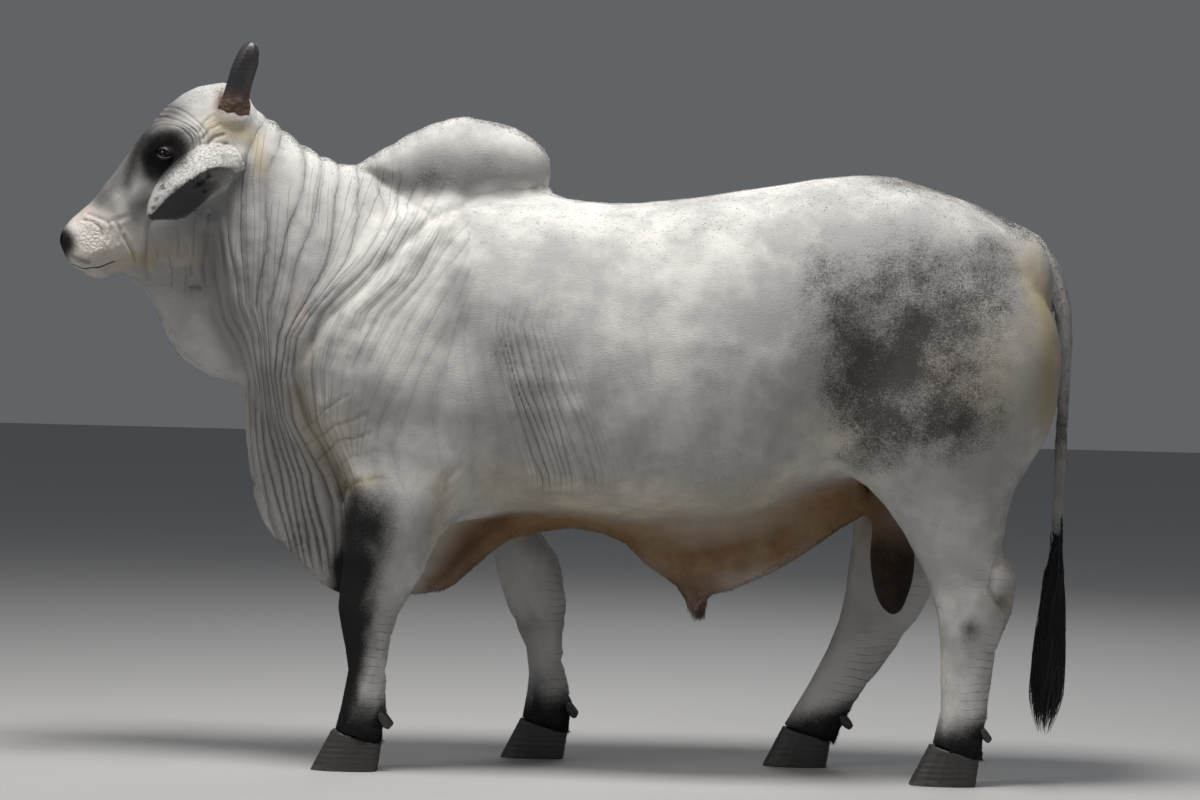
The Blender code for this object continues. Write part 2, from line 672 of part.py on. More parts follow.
def body_cuts(home):
    """The thin cuts between the named parts, each a line in the side view."""
    outside = 0.6
    cut_sheet(
        "behind_throat",
        [(-1.16, 1.060), (-1.02, 1.142), (-0.94, 1.130), (-0.860, 1.120), (-0.812, 1.050),
         (-0.778, 0.960), (-0.792, 0.880), (-0.86, 0.840)],
        -outside, outside, home,
    )
    cut_sheet("behind_jaw", [(-0.70, 1.72), (-0.775, 1.42), (-0.860, 1.120)], -outside, outside, home)
    cut_sheet(
        "under_breast",
        [(-0.785, 0.925), (-0.728, 0.845), (-0.652, 0.735), (-0.612, 0.690), (-0.555, 0.632)],
        -outside, outside, home,
    )
    cut_sheet(
        "under_chest",
        [(-0.555, 0.632), (-0.460, 0.592), (-0.330, 0.560), (-0.200, 0.560), (-0.060, 0.566), (0.060, 0.574)],
        -0.105, 0.105, home,
    )
    cut_sheet(
        "under_belly",
        [(0.055, 0.640), (0.060, 0.574), (0.200, 0.566), (0.320, 0.562), (0.450, 0.572),
         (0.560, 0.610), (0.640, 0.652), (0.705, 0.668), (0.731, 0.645), (0.731, 0.520)],
        -0.085, 0.085, home,
    )
    cut_sheet("scrotum_neck", [(0.731, 0.645), (0.790, 0.652), (0.900, 0.650)], -0.075, 0.075, home)
    cut_sheet("behind_shoulder", [(-0.055, 1.379), (-0.070, 1.10), (-0.045, 0.50)], -outside, outside, home)
    cut_sheet("before_hips", [(0.545, 1.55), (0.520, 1.10), (0.560, 0.55)], -outside, outside, home)
    cut_sheet("behind_breast", [(0.030, 0.610), (0.030, 0.480)], -0.100, 0.100, home)
    cut_sheet(
        "before_shoulder",
        [(-0.520, 1.60), (-0.545, 1.400), (-0.590, 1.150), (-0.618, 0.950), (-0.622, 0.800), (-0.612, 0.690)],
        -outside, outside, home,
    )
    cut_sheet(
        "under_hump",
        [(-0.545, 1.400), (-0.440, 1.378), (-0.330, 1.330), (-0.280, 1.328), (-0.200, 1.366),
         (-0.060, 1.376), (0.060, 1.410)],
        -outside, outside, home,
    )
    for side, label, elbow in (
        (-1, "left", [(-0.62, 0.600), (-0.42, 0.560), (-0.15, 0.545)]),
        (1, "right", [(-0.44, 0.595), (-0.18, 0.560), (0.10, 0.548)]),
    ):
        low, high = sorted((side * 0.085, side * outside))
        cut_sheet(f"elbow_{label}", elbow, low, high, home)
        low, high = sorted((side * 0.060, side * outside))
        thigh = [(0.60, 0.690), (0.78, 0.662), (0.90, 0.690), (1.20, 0.720)]
        cut_sheet(f"thigh_{label}", thigh, low, high, home)
    cut_sheet("knee_left", [(-0.60, 0.330), (-0.30, 0.300)], -outside, -0.10, home)
    cut_sheet("knee_right", [(-0.25, 0.325), (0.10, 0.310)], 0.10, outside, home)
    cut_sheet("fetlock_fore_left", [(-0.62, 0.168), (-0.34, 0.152)], -outside, -0.10, home)
    cut_sheet("fetlock_fore_right", [(-0.20, 0.168), (0.10, 0.152)], 0.10, outside, home)
    cut_sheet("hock_cut_left", [(0.80, 0.420), (1.12, 0.400)], -outside, -0.09, home)
    cut_sheet("hock_cut_right", [(0.62, 0.420), (0.96, 0.350)], 0.09, outside, home)
    cut_sheet("fetlock_hind_left", [(0.80, 0.166), (1.10, 0.152)], -outside, -0.09, home)
    cut_sheet("fetlock_hind_right", [(0.48, 0.178), (0.80, 0.110)], 0.09, outside, home)
    for name, (x, y) in FEET.items():
        side = math.copysign(1, y)
        reach = (CORONET_REAR[1] - CORONET_FRONT[1]) / (CORONET_REAR[0] - CORONET_FRONT[0])
        ends = [(x + d, CORONET_FRONT[1] + reach * (d - CORONET_FRONT[0])) for d in (-0.13, 0.13)]
        low, high = sorted((side * 0.09, side * outside))
        cut_sheet(f"coronet_{name}", ends, low, high, home)


def part_body(flesh, cuts, home):
    """Cuts the fused body and names the pieces by their anchors."""
    boolean(flesh, "DIFFERENCE", cuts)
    bodies = loose_bodies(flesh)
    bodies.sort(key=lambda body: -body_volume(*body))
    nodes = {}
    for name, place in ANCHORS.items():
        inside = [b for b in bodies if contains(b, Vector(place))]
        if not inside:
            raise ValueError(f"no piece of the body holds the anchor of {name}")
        points, faces = inside[0]
        mesh = bpy.data.meshes.new(name)
        mesh.from_pydata(points, [], faces)
        nodes[name] = object_of(mesh, name, home)
        finish_node(nodes[name], DARK_SKIN if name == "scrotum" else COAT, home)
    return nodes


def contains(body, place):
    """Whether a closed surface holds a point, by counting the faces above it."""
    points, faces = body
    crossings = 0
    for face in faces:
        for k in range(1, len(face) - 1):
            a, b, c = points[face[0]], points[face[k]], points[face[k + 1]]
            flat = (b.x - a.x) * (c.y - a.y) - (b.y - a.y) * (c.x - a.x)
            if abs(flat) < 1e-14:
                continue
            u = ((place.x - a.x) * (c.y - a.y) - (place.y - a.y) * (c.x - a.x)) / flat
            v = ((b.x - a.x) * (place.y - a.y) - (b.y - a.y) * (place.x - a.x)) / flat
            if u >= 0 and v >= 0 and u + v <= 1:
                crossings += a.z + u * (b.z - a.z) + v * (c.z - a.z) > place.z
    return crossings % 2 == 1


def trimmed(thing, point, normal):
    """Cuts an object flat and drops what lies on the normal's side."""
    bm = bmesh.new()
    bm.from_mesh(thing.data)
    cut = bmesh.ops.bisect_plane(
        bm, geom=[*bm.verts, *bm.edges, *bm.faces], plane_co=point, plane_no=normal, clear_outer=True
    )
    edges = [g for g in cut["geom_cut"] if isinstance(g, bmesh.types.BMEdge)]
    bmesh.ops.triangle_fill(bm, edges=edges, use_beauty=True)
    thing.data = mesh_from(bm, thing.name)


def eye_place(side):
    """The middle of an eyeball, after the head has turned."""
    return turned_with_head((EYE_PLACE.x, side * EYE_PLACE.y, EYE_PLACE.z))


def eye_direction(side):
    """The way an eye looks."""
    return Matrix.Rotation(HEAD_TURN, 3, "Z") @ Vector((-0.28, side * 0.95, 0.05)).normalized()


def ball(name, centre, radius, home, segments=14):
    """A sphere."""
    bm = bmesh.new()
    place = Matrix.Translation(centre)
    bmesh.ops.create_uvsphere(bm, u_segments=segments, v_segments=segments * 3 // 5, radius=radius, matrix=place)
    return object_of(mesh_from(bm, name), name, home)


def lid_opening(name, side, home):
    """The almond through which the eye shows, as a cutter in front of the eyeball."""
    look = eye_direction(side)
    along = Vector((0.86, 0, -0.20)).normalized()
    along = (along - look * along.dot(look)).normalized()
    up = look.cross(along).normalized()
    width, depth, corners = 0.0195, 0.034, 16
    bm = bmesh.new()
    rings = []
    for reach, spread in ((EYE_RADIUS * 0.35, 0.72), (depth, 1.12)):
        ring = []
        for k in range(corners):
            angle = 2 * math.pi * k / corners
            across = width * math.cos(angle)
            rise = LID_GAPE * math.sin(angle) * (1 - 0.25 * abs(math.cos(angle)))
            ring.append(bm.verts.new(eye_place(side) + look * reach + along * across * spread + up * rise * spread))
        rings.append(ring)
    for k in range(corners):
        n = (k + 1) % corners
        bm.faces.new((rings[0][k], rings[0][n], rings[1][n], rings[1][k]))
    bm.faces.new(rings[0])
    bm.faces.new(rings[1])
    return object_of(mesh_from(bm, name), name, home)


def mouth_cut(home):
    """The line of the mouth, a narrow slit round the muzzle up to its corners."""
    thing = cut_sheet(
        "mouth",
        [(-1.260, 1.200), (-1.195, 1.184), (-1.150, 1.166), (-1.110, 1.171), (-1.072, 1.188)],
        -0.12, 0.12, home,
    )
    out = thing.modifiers.new("out", "DISPLACE")
    out.strength = 0.0016
    out.mid_level = 0
    apply_all(thing)
    turn_with_head(thing)
    return thing


def horn_nodes(workings, home):
    """Short, blunt horns that rise and lean back a little, with their roots in sockets of the head."""
    horns = []
    for side, label in ((-1, "left"), (1, "right")):
        course = [(-0.806, 0.070, 1.520), (-0.801, 0.084, 1.555), (-0.794, 0.098, 1.600),
                  (-0.782, 0.111, 1.650), (-0.769, 0.119, 1.683), (-0.763, 0.122, 1.699), (-0.760, 0.123, 1.709)]
        places = [turned_with_head((x, side * y, z)) for x, y, z in course]
        thing = tube(f"horn_{label}", places, [0.040, 0.038, 0.031, 0.0270, 0.0245, 0.0200, 0.0100], workings)
        finish_node(thing, HORN, home)
        horns.append(thing)
    return horns


def head_node(workings, forms, home, nodes, horns):
    """The head, with its lids, mouth line, nostrils and horn sockets, parted from the neck and the throat."""
    sources = [o for o in forms.objects if o.name.startswith(HEAD_NAMES)]
    thing = fused("head", sources, workings, HEAD_VOXEL, 20, HEAD_TRIANGLES)
    lids = collection("lids", shown=False)
    for side in (-1, 1):
        ball(f"lid_ball_{side}", eye_place(side), EYE_RADIUS + LID_THICKNESS, lids)
    boolean(thing, "UNION", lids)
    carving = collection("head_carving", shown=False)
    for side in (-1, 1):
        ball(f"socket_{side}", eye_place(side), EYE_RADIUS + GAP, carving)
        lid_opening(f"lid_opening_{side}", side, carving)
        place = (-1.198, side * 0.042, 1.238)
        nostril = ellipsoid(f"nostril_{side}", place, (0.020, 0.0085, 0.0115), carving, tilt=-52, twist=-side * 34)
        turn_with_head(nostril)
    for horn in horns:
        grown(horn, carving)
    mouth_cut(carving)
    cut_sheet(
        "jaw_edge",
        [(-1.16, 1.060), (-1.02, 1.142), (-0.94, 1.130), (-0.860, 1.120), (-0.775, 1.420), (-0.70, 1.720)],
        -0.6, 0.6, carving,
    )
    boolean(thing, "DIFFERENCE", carving)
    keep_containing(thing, Vector((-0.90, 0.0, 1.45)))
    finish_node(thing, COAT, home)
    nodes["head"] = thing


HEAD_NAMES = (
    "skull", "cheek", "brow", "temple", "horn_root", "ear_root", "nostril_wing",
    "upper_lip", "chin", "poll", "forehead", "neck_core", "throat_fold",
)


def keep_containing(thing, place):
    """Leaves only the closed surface that holds a point."""
    held = [body for body in loose_bodies(thing) if contains(body, place)]
    points, faces = max(held, key=lambda body: body_volume(*body))
    mesh = bpy.data.meshes.new(thing.name)
    mesh.from_pydata(points, [], faces)
    thing.data = mesh


def eye_nodes(home):
    """The eyeballs, a hair smaller than their sockets."""
    for side, label in ((-1, "left"), (1, "right")):
        thing = ball(f"eye_{label}", eye_place(side), EYE_RADIUS, home)
        finish_node(thing, EYE, home)


@dataclass(frozen=True)
class EarSlice:
    """One cross-section of an ear: its place, radius, curl, sag and how far its lower edge comes down."""

    along: float
    radius: float
    curl: float
    sag: float
    fall: float


EAR_SLICES = (
    EarSlice(0.00, 0.031, 150, 0.002, 0.82),
    EarSlice(0.12, 0.041, 138, 0.010, 0.80),
    EarSlice(0.26, 0.057, 118, 0.018, 0.78),
    EarSlice(0.42, 0.070, 101, 0.019, 0.80),
    EarSlice(0.58, 0.070, 98, 0.014, 0.92),
    EarSlice(0.74, 0.065, 93, 0.005, 0.90),
    EarSlice(0.86, 0.050, 90, -0.002, 0.72),
    EarSlice(0.95, 0.031, 88, -0.011, 0.60),
    EarSlice(1.00, 0.011, 84, -0.017, 0.55),
)
EAR_ROOT = (-0.798, 0.098, 1.432)
EAR_TIP = (-0.990, 0.236, 1.300)
EAR_ROLL = math.radians(40)
EAR_FLATNESS = 0.70
EAR_OVER = 1.32


def ear_nodes(workings, flesh, home):
    """Long drooping ears: each a leaf whose upper half rolls over, closed to a tube at its root."""
    across = 10
    for side, label in ((-1, "left"), (1, "right")):
        root, tip = (Vector((x, side * y, z)) for x, y, z in (EAR_ROOT, EAR_TIP))
        axis = (tip - root).normalized()
        outward = Vector((0, side, 0))
        outward = (outward - axis * outward.dot(axis)).normalized()
        upward = axis.cross(outward) * (-side)
        bm = bmesh.new()
        rows = []
        for cut in EAR_SLICES:
            curl = math.radians(cut.curl)
            hang = 0.5 + 0.5 * math.cos(curl)
            centre = root.lerp(tip, cut.along) + Vector((0, 0, cut.sag))
            centre += (outward * 0.20 - upward * 0.53) * hang * cut.radius
            row = []
            for k in range(across + 1):
                turn = EAR_ROLL + curl * ((EAR_OVER + cut.fall) * k / across - cut.fall)
                rise = upward * math.sin(turn) - outward * EAR_FLATNESS * math.cos(turn)
                row.append(bm.verts.new(centre + rise * cut.radius))
            rows.append(row)
        for first, second in zip(rows, rows[1:]):
            for k in range(across):
                bm.faces.new((first[k], first[k + 1], second[k + 1], second[k]))
        thing = object_of(mesh_from(bm, f"ear_{label}"), f"ear_{label}", workings)
        wall = thing.modifiers.new("wall", "SOLIDIFY")
        wall.thickness = EAR_THICKNESS
        wall.offset = 0
        apply_all(thing)
        turn_with_head(thing)
        fitted(thing, flesh, workings)
        finish_node(thing, COAT, home)


TAIL_COURSE = (
    (0.970, 1.352), (1.040, 1.330), (1.092, 1.300), (1.135, 1.252), (1.166, 1.195), (1.184, 1.130),
    (1.192, 1.040), (1.192, 0.920), (1.189, 0.790), (1.186, 0.670), (1.184, 0.590), (1.182, 0.500),
)
TAIL_RADII = (0.032, 0.031, 0.029, 0.026, 0.024, 0.021, 0.019, 0.018, 0.016, 0.014, 0.013, 0.012)


def switch_spread(height):
    """How far the switch reaches from its middle at a height: slim above, fullest near the foot."""
    fall = (SWITCH_TOP - height) / (SWITCH_TOP - SWITCH_TIP)
    return 0.016 + 0.034 * math.sin(min(fall / 0.80, 1.0) * math.pi / 2) - 0.030 * max(fall - 0.80, 0.0) / 0.20


def switch_middle(height):
    """The middle line of the hanging switch, which leans a little forward."""
    fall = (SWITCH_TOP - height) / (SWITCH_TOP - SWITCH_TIP)
    return Vector((1.186 - 0.022 * fall, 0, height))


def lock(name, k, draw, home):
    """A flat lock of hair that leaves the core, hangs, bends and tapers to a point."""
    tier = k / (LOCK_COUNT - 1)
    angle = k * math.pi * (3 - math.sqrt(5))
    root = SWITCH_TOP - 0.030 - (SWITCH_TOP - 0.045 - CORE_FOOT) * tier
    length = (0.200 + 0.045 * draw.random()) * (1 - tier) + (root - SWITCH_TIP) * (1 - 0.22 * draw.random()) * tier
    length = min(length, root - SWITCH_TIP)
    reach = 0.72 + 0.28 * draw.random()
    sway = draw.uniform(-0.55, 0.55)
    steps = 4
    bm = bmesh.new()
    rings = []
    for j in range(steps):
        s = j / steps
        height = root - length * s
        out = switch_spread(height) * reach * math.sin(min(0.12 + s * 1.7, 1.0) * math.pi / 2)
        turn = angle + sway * s * s
        away = Vector((math.cos(turn), math.sin(turn), 0))
        across = Vector((-away.y, away.x, 0))
        half = LOCK_HALF_WIDTH * (0.62 + 1.3 * s - 1.75 * s * s)
        depth = LOCK_HALF_DEPTH * (1 - 0.5 * s)
        middle = switch_middle(height) + away * out
        rings.append([bm.verts.new(middle + d) for d in (across * half, away * depth, -across * half, -away * depth)])
    foot = root - length
    turn = angle + sway * 1.2
    end = switch_middle(foot) + Vector((math.cos(turn), math.sin(turn), 0)) * switch_spread(foot) * reach * 0.9
    tip = bm.verts.new(end)
    for first, second in zip(rings, rings[1:]):
        for n in range(4):
            bm.faces.new((first[n], first[(n + 1) % 4], second[(n + 1) % 4], second[n]))
    for n in range(4):
        bm.faces.new((rings[-1][n], rings[-1][(n + 1) % 4], tip))
    bm.faces.new(rings[0])
    bmesh.ops.triangulate(bm, faces=bm.faces)
    object_of(mesh_from(bm, name), name, home)


def tail_nodes(workings, flesh, home):
    """The tail, pressed against the buttocks, and its switch of overlapping locks on a short core."""
    places = [(x, 0.0, z) for x, z in TAIL_COURSE]
    thing = tube("tail", places, TAIL_RADII, workings)
    trimmed(thing, (0, 0, SWITCH_TOP + GAP / 2), (0, 0, -1))
    fitted(thing, flesh, workings)
    finish_node(thing, COAT, home)
    levels = (SWITCH_TOP + 0.02, SWITCH_TOP - 0.03, 0.500, 0.440, 0.400, CORE_FOOT)
    course = [switch_middle(height) for height in levels]
    core = tube("tail_switch", course, [0.013, 0.0135, 0.0150, 0.0150, 0.0120, 0.004], workings)
    trimmed(core, (0, 0, SWITCH_TOP - GAP / 2), (0, 0, 1))
    locks = collection("switch_locks", shown=False)
    draw = random.Random(SEED)
    for k in range(LOCK_COUNT):
        lock(f"lock_{k}", k, draw, locks)
    boolean(core, "UNION", locks)
    for piece in list(locks.objects):
        bpy.data.objects.remove(piece)
    keep_largest(core)
    finish_node(core, SWITCH, home)


def claw(name, x, y, side, home):
    """One claw of a cloven hoof: flat inside and underneath, round outside, cut off at the coronet."""
    levels = ((0.0, 1.0), (0.030, 0.96), (0.070, 0.90), (0.120, 0.84))
    around = 14
    top_front, top_rear = CORONET_FRONT[0], CORONET_REAR[0]
    bm = bmesh.new()
    rings = []
    for height, scale in levels:
        rise = height / CORONET_FRONT[1]
        toe = SOLE_TOE + (top_front - 0.002 - SOLE_TOE) * rise
        heel = SOLE_HEEL + (top_rear - SOLE_HEEL) * rise
        middle, reach = (toe + heel) / 2, (heel - toe) / 2
        ring = []
        for k in range(around):
            angle = 2 * math.pi * k / around
            forward, out = math.cos(angle), math.sin(angle)
            depth = 0.0505 * scale * (0.5 + 0.5 * math.copysign(abs(out) ** 0.70, out))
            taper = 1 - 0.42 * max(-forward, 0) ** 3 - 0.12 * max(forward, 0) ** 3
            ring.append(bm.verts.new((x + middle + reach * forward, y + side * (CLEFT / 2 + depth * taper), height)))
        rings.append(ring)
    for first, second in zip(rings, rings[1:]):
        for k in range(around):
            n = (k + 1) % around
            bm.faces.new((first[k], first[n], second[n], second[k]))
    bm.faces.new(rings[0])
    bm.faces.new(rings[-1])
    thing = object_of(mesh_from(bm, name), name, home)
    fall = (CORONET_REAR[1] - CORONET_FRONT[1]) / (CORONET_REAR[0] - CORONET_FRONT[0])
    normal = Vector((-fall, 0, 1)).normalized()
    edge = Vector((x + CORONET_FRONT[0], y, CORONET_FRONT[1])) - normal * GAP
    trimmed(thing, edge, normal)
    finish_node(thing, HOOF, home)


def foot_nodes(workings, nodes, home):
    """Two claws and two dewclaws on each foot."""
    for name, (x, y) in FEET.items():
        flesh = [nodes[f"{bone}_{name}"] for bone in ("pastern", "cannon")]
        for side in (-1, 1):
            label = "outer" if side * y > 0 else "inner"
            claw(f"claw_{name}_{label}", x, y, side, home)
            back, height = DEWCLAWS[name]
            root = Vector((back - 0.024, y + side * 0.021, height + 0.010))
            tip = Vector((back + 0.014, y + side * 0.025, height - 0.024))
            bm = bmesh.new()
            aim = (tip - root).to_track_quat("Z", "Y").to_matrix().to_4x4()
            place = Matrix.Translation((root + tip) / 2) @ aim
            bmesh.ops.create_cone(
                bm, cap_ends=True, segments=9, radius1=0.018, radius2=0.010, depth=(tip - root).length, matrix=place
            )
            thing = object_of(mesh_from(bm, "dewclaw"), f"dewclaw_{name}_{label}", workings)
            fitted(thing, flesh, workings)
            finish_node(thing, HOOF, home)


def main():
    """Builds the bull."""
    clear_scene()
    forms = collection("forms", shown=False)
    cutters = collection("cutters", shown=False)
    workings = collection("workings", shown=False)
    bull = collection("brahman_bull")
    torso_forms(forms)
    neck_forms(forms)
    hump_form(forms)
    dewlap_forms(forms)
    sheath_forms(forms)
    leg_forms(forms)
    scrotum_form(forms)
    head_forms(forms)
    body = fused("body", list(forms.objects), workings, BODY_VOXEL, 18, BODY_TRIANGLES)
    body_cuts(cutters)
    nodes = part_body(body, cutters, bull)
    horns = horn_nodes(workings, bull)
    head_node(workings, forms, bull, nodes, horns)
    eye_nodes(bull)
    around_head = [nodes["head"], nodes["neck"]]
    ear_nodes(workings, around_head, bull)
    tail_nodes(workings, [nodes["hindquarters"]], bull)
    foot_nodes(workings, nodes, bull)


main()
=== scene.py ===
"""A life-size grey Brahman bull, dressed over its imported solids.

Metres, +Z up, with the floor at z = 0. The bull faces -X and its left side is -Y.
"""

import logging
import math
from contextlib import contextmanager
from dataclasses import dataclass
from enum import Enum
from itertools import product
from typing import Callable, Iterable, Iterator, Optional, Sequence

import bmesh
import bpy
import numpy as np
from mathutils import Matrix, Vector
from mathutils.bvhtree import BVHTree


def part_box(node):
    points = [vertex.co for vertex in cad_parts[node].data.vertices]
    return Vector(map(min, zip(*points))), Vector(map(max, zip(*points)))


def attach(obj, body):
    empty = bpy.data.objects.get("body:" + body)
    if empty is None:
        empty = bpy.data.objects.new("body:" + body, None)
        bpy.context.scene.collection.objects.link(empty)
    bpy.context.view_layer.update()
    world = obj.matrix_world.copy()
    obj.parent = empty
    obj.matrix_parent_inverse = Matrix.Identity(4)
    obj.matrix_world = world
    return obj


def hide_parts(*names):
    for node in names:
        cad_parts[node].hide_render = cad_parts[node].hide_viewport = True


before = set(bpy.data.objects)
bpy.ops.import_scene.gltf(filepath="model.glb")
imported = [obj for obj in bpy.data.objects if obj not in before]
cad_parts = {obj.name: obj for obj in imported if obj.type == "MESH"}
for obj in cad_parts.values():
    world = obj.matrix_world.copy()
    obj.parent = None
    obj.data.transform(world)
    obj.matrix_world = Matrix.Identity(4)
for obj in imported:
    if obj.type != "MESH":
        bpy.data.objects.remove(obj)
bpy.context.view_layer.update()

LOG = logging.getLogger("bull")
Array = np.ndarray
# The markings and folds are placed on a drawing of the left side, this many metres to a step.
GRID = 0.0024
HEAD_TURN = math.radians(7.5)
HEAD_PIVOT = Vector((-0.70, 0.0, 0.0))
HEAD_REACH = 0.012
SAC_AXIS = 0.797
SHEATH_AXIS = 0.33
TAIL_FRONT = 1.08
TAIL_HALF = 0.034
PATCH = 0.0014

SIDES = ("left", "right")
FEET = ("fore_left", "fore_right", "hind_left", "hind_right")
FLESH = (
    "barrel", "chest", "neck", "head", "hump", "hindquarters", "dewlap_throat", "dewlap_brisket",
    "sheath", "scrotum", "ear_left", "ear_right", "forearm_left", "forearm_right",
    "gaskin_left", "gaskin_right", *(f"cannon_{foot}" for foot in FEET),
    *(f"pastern_{foot}" for foot in FEET), "tail",
)


class Flank(Enum):
    """The side of the animal that a marking is on."""

    BOTH = 0
    LEFT = -1
    RIGHT = 1


# Measures


def head_turn() -> Matrix:
    """The turn of the straight head about the neck, with its reach forward."""
    there = Matrix.Translation(HEAD_PIVOT - Vector((HEAD_REACH, 0, 0)))
    return there @ Matrix.Rotation(HEAD_TURN, 4, "Z") @ Matrix.Translation(-HEAD_PIVOT)


def step(low: float, high: float, values: Array) -> Array:
    """A smooth step from 0 at low to 1 at high.

    Args:
        low: The value at which the step starts.
        high: The value at which it is complete, which may be the smaller of the two.
        values: The values to map.

    Returns:
        The mapped values.
    """
    part = np.clip((values - low) / (high - low), 0, 1)
    return part * part * (3 - 2 * part)


def lattice_noise(points: Array, seed: int = 0) -> Array:
    """Smooth noise from -1 to 1.

    Args:
        points: Places, one a row, in lattice steps.
        seed: Chooses the pattern.

    Returns:
        A value for each place.
    """
    cell = np.floor(points).astype(np.int64)
    part = points - cell
    part = part * part * (3 - 2 * part)
    total = np.zeros(len(points))
    for corner in product((0, 1), repeat=3):
        at = cell + corner
        mixed = at[:, 0] * 374761393 + at[:, 1] * 668265263 + at[:, 2] * 1442695041 + seed * 97531
        mixed &= 0xFFFFFFFF
        mixed = ((mixed ^ (mixed >> 13)) * 1274126177) & 0xFFFFFFFF
        mixed = ((mixed ^ (mixed >> 15)) * 2246822519) & 0xFFFFFFFF
        value = ((mixed ^ (mixed >> 16)) & 0xFFFF) / 32767.5 - 1
        weight = np.ones(len(points))
        for axis in range(3):
            weight = weight * (part[:, axis] if corner[axis] else 1 - part[:, axis])
        total += value * weight
    return total


def fractal(points: Array, octaves: int = 3, seed: int = 0) -> Array:
    """Several sizes of noise added together.

    Args:
        points: Places, one a row, in steps of the largest size.
        octaves: How many sizes.
        seed: Chooses the pattern.

    Returns:
        A value for each place, mostly from -1 to 1.
    """
    return sum(lattice_noise(points * 2**k + 17.3 * k, seed + k) * 0.55**k for k in range(octaves))


def line_distance(grid: Array, line: Sequence[tuple[float, float]]) -> Array:
    """How far places on the drawing are from a bent line.

    Args:
        grid: The places' columns and rows.
        line: The line's columns and rows.

    Returns:
        The distances in the drawing's steps.
    """
    best = np.full(len(grid), 4000.0)
    for first, second in zip(line, line[1:]):
        start, along = np.array(first, float), np.array(second, float) - first
        share = np.clip((grid - start) @ along / (along @ along), 0, 1)
        best = np.minimum(best, np.linalg.norm(grid - start - share[:, None] * along, axis=1))
    return best


def pleat_phase(station: object, height: object, across: object, sine: Callable) -> object:
    """Where a place lies in the run of the neck's folds; works on arrays and on shader wires alike.

    Args:
        station: How far the place lies across the folds, in metres.
        height: Its height.
        across: Its distance from the middle plane, to either side.
        sine: The sine, for arrays or for wires.

    Returns:
        An angle that passes a multiple of pi in each valley.
    """
    warp = sine(height * 5.3 + station * 21.0 + across * 6.0) * 1.25
    warp = warp + sine(height * 12.1 - station * 37.0 + 1.0) * 0.70
    return station * 98.0 + across * 5.0 + warp + sine(height * 23.0 + station * 61.0) * 0.28


def ring_phase(x: object, y: object, z: object, sine: Callable) -> object:
    """Where a place lies in the run of the rings round a leg, as for the folds of the neck."""
    warp = sine(x * 31.0 + z * 17.0) * 0.7 + sine(y * 43.0 - z * 29.0) * 0.5
    return z * 160.0 + x * 12.0 + warp + sine(x * 60.0 + y * 50.0 + z * 23.0) * 0.25


def units(vectors: Array) -> Array:
    """Vectors, one a row, at length 1."""
    return vectors / np.maximum(np.linalg.norm(vectors, axis=1, keepdims=True), 1e-9)


# Meshes


def points_of(thing: bpy.types.Object) -> Array:
    """The points of a mesh object, one a row."""
    flat = np.empty(len(thing.data.vertices) * 3, np.float32)
    thing.data.vertices.foreach_get("co", flat)
    return flat.reshape(-1, 3).astype(float)


def move_points(thing: bpy.types.Object, points: Array) -> None:
    """Puts a mesh object's points at new places."""
    thing.data.vertices.foreach_set("co", points.astype(np.float32).ravel())
    thing.data.update()


def normals_of(thing: bpy.types.Object) -> Array:
    """The direction that each point of a mesh object faces."""
    flat = np.empty(len(thing.data.vertices) * 3, np.float32)
    thing.data.vertex_normals.foreach_get("vector", flat)
    return flat.reshape(-1, 3).astype(float)


def edges_of(thing: bpy.types.Object) -> Array:
    """The edges of a mesh object, one a row."""
    flat = np.empty(len(thing.data.edges) * 2, np.int32)
    thing.data.edges.foreach_get("vertices", flat)
    return flat.reshape(-1, 2)


def neighbour_mean(values: Array, edges: Array) -> Array:
    """The mean of the neighbours of every point.

    Args:
        values: A row of numbers for each point.
        edges: The edges that join points.

    Returns:
        The means, as rows.
    """
    ends = np.concatenate((edges[:, 0], edges[:, 1]))
    others = np.concatenate((edges[:, 1], edges[:, 0]))
    count = np.maximum(np.bincount(ends, minlength=len(values)), 1)
    columns = [np.bincount(ends, values[others, k], len(values)) / count for k in range(values.shape[1])]
    return np.stack(columns, axis=1)


def relaxed(points: Array, edges: Array, rounds: int, weight: Array, hold: float = -0.52) -> Array:
    """Smooths a surface without letting it shrink much.

    Args:
        points: The surface's points.
        edges: Its edges.
        rounds: How often it is smoothed.
        weight: How much each point takes part, from 0 to 1.
        hold: The counter-step that keeps the volume; 0 lets it shrink.

    Returns:
        The new points.
    """
    share = weight[:, None]
    for _ in range(rounds):
        points = points + 0.5 * share * (neighbour_mean(points, edges) - points)
        if hold:
            points = points + hold * share * (neighbour_mean(points, edges) - points)
    return points


def placed(name: str, data: bpy.types.ID) -> bpy.types.Object:
    """An object of some data, in the scene.

    Args:
        name: The object's name.
        data: Its mesh, lamp or camera.

    Returns:
        The object.
    """
    thing = bpy.data.objects.new(name, data)
    bpy.context.scene.collection.objects.link(thing)
    return thing


def from_bmesh(name: str, bm: bmesh.types.BMesh) -> bpy.types.Object:
    """An object of a mesh in the making, which is closed.

    Args:
        name: The object's name.
        bm: The mesh in the making.

    Returns:
        The object.
    """
    mesh = bpy.data.meshes.new(name)
    bm.to_mesh(mesh)
    bm.free()
    return placed(name, mesh)


@contextmanager
def editing(thing: bpy.types.Object) -> Iterator[bmesh.types.BMesh]:
    """Opens a mesh object's mesh for changes.

    Args:
        thing: The object.

    Returns:
        The mesh in the making, which is written back at the end.
    """
    bm = bmesh.new()
    bm.from_mesh(thing.data)
    yield bm
    bm.to_mesh(thing.data)
    bm.free()


def face_outward(thing: bpy.types.Object) -> None:
    """Turns the faces of a mesh object outward."""
    with editing(thing) as bm:
        bmesh.ops.recalc_face_normals(bm, faces=bm.faces)


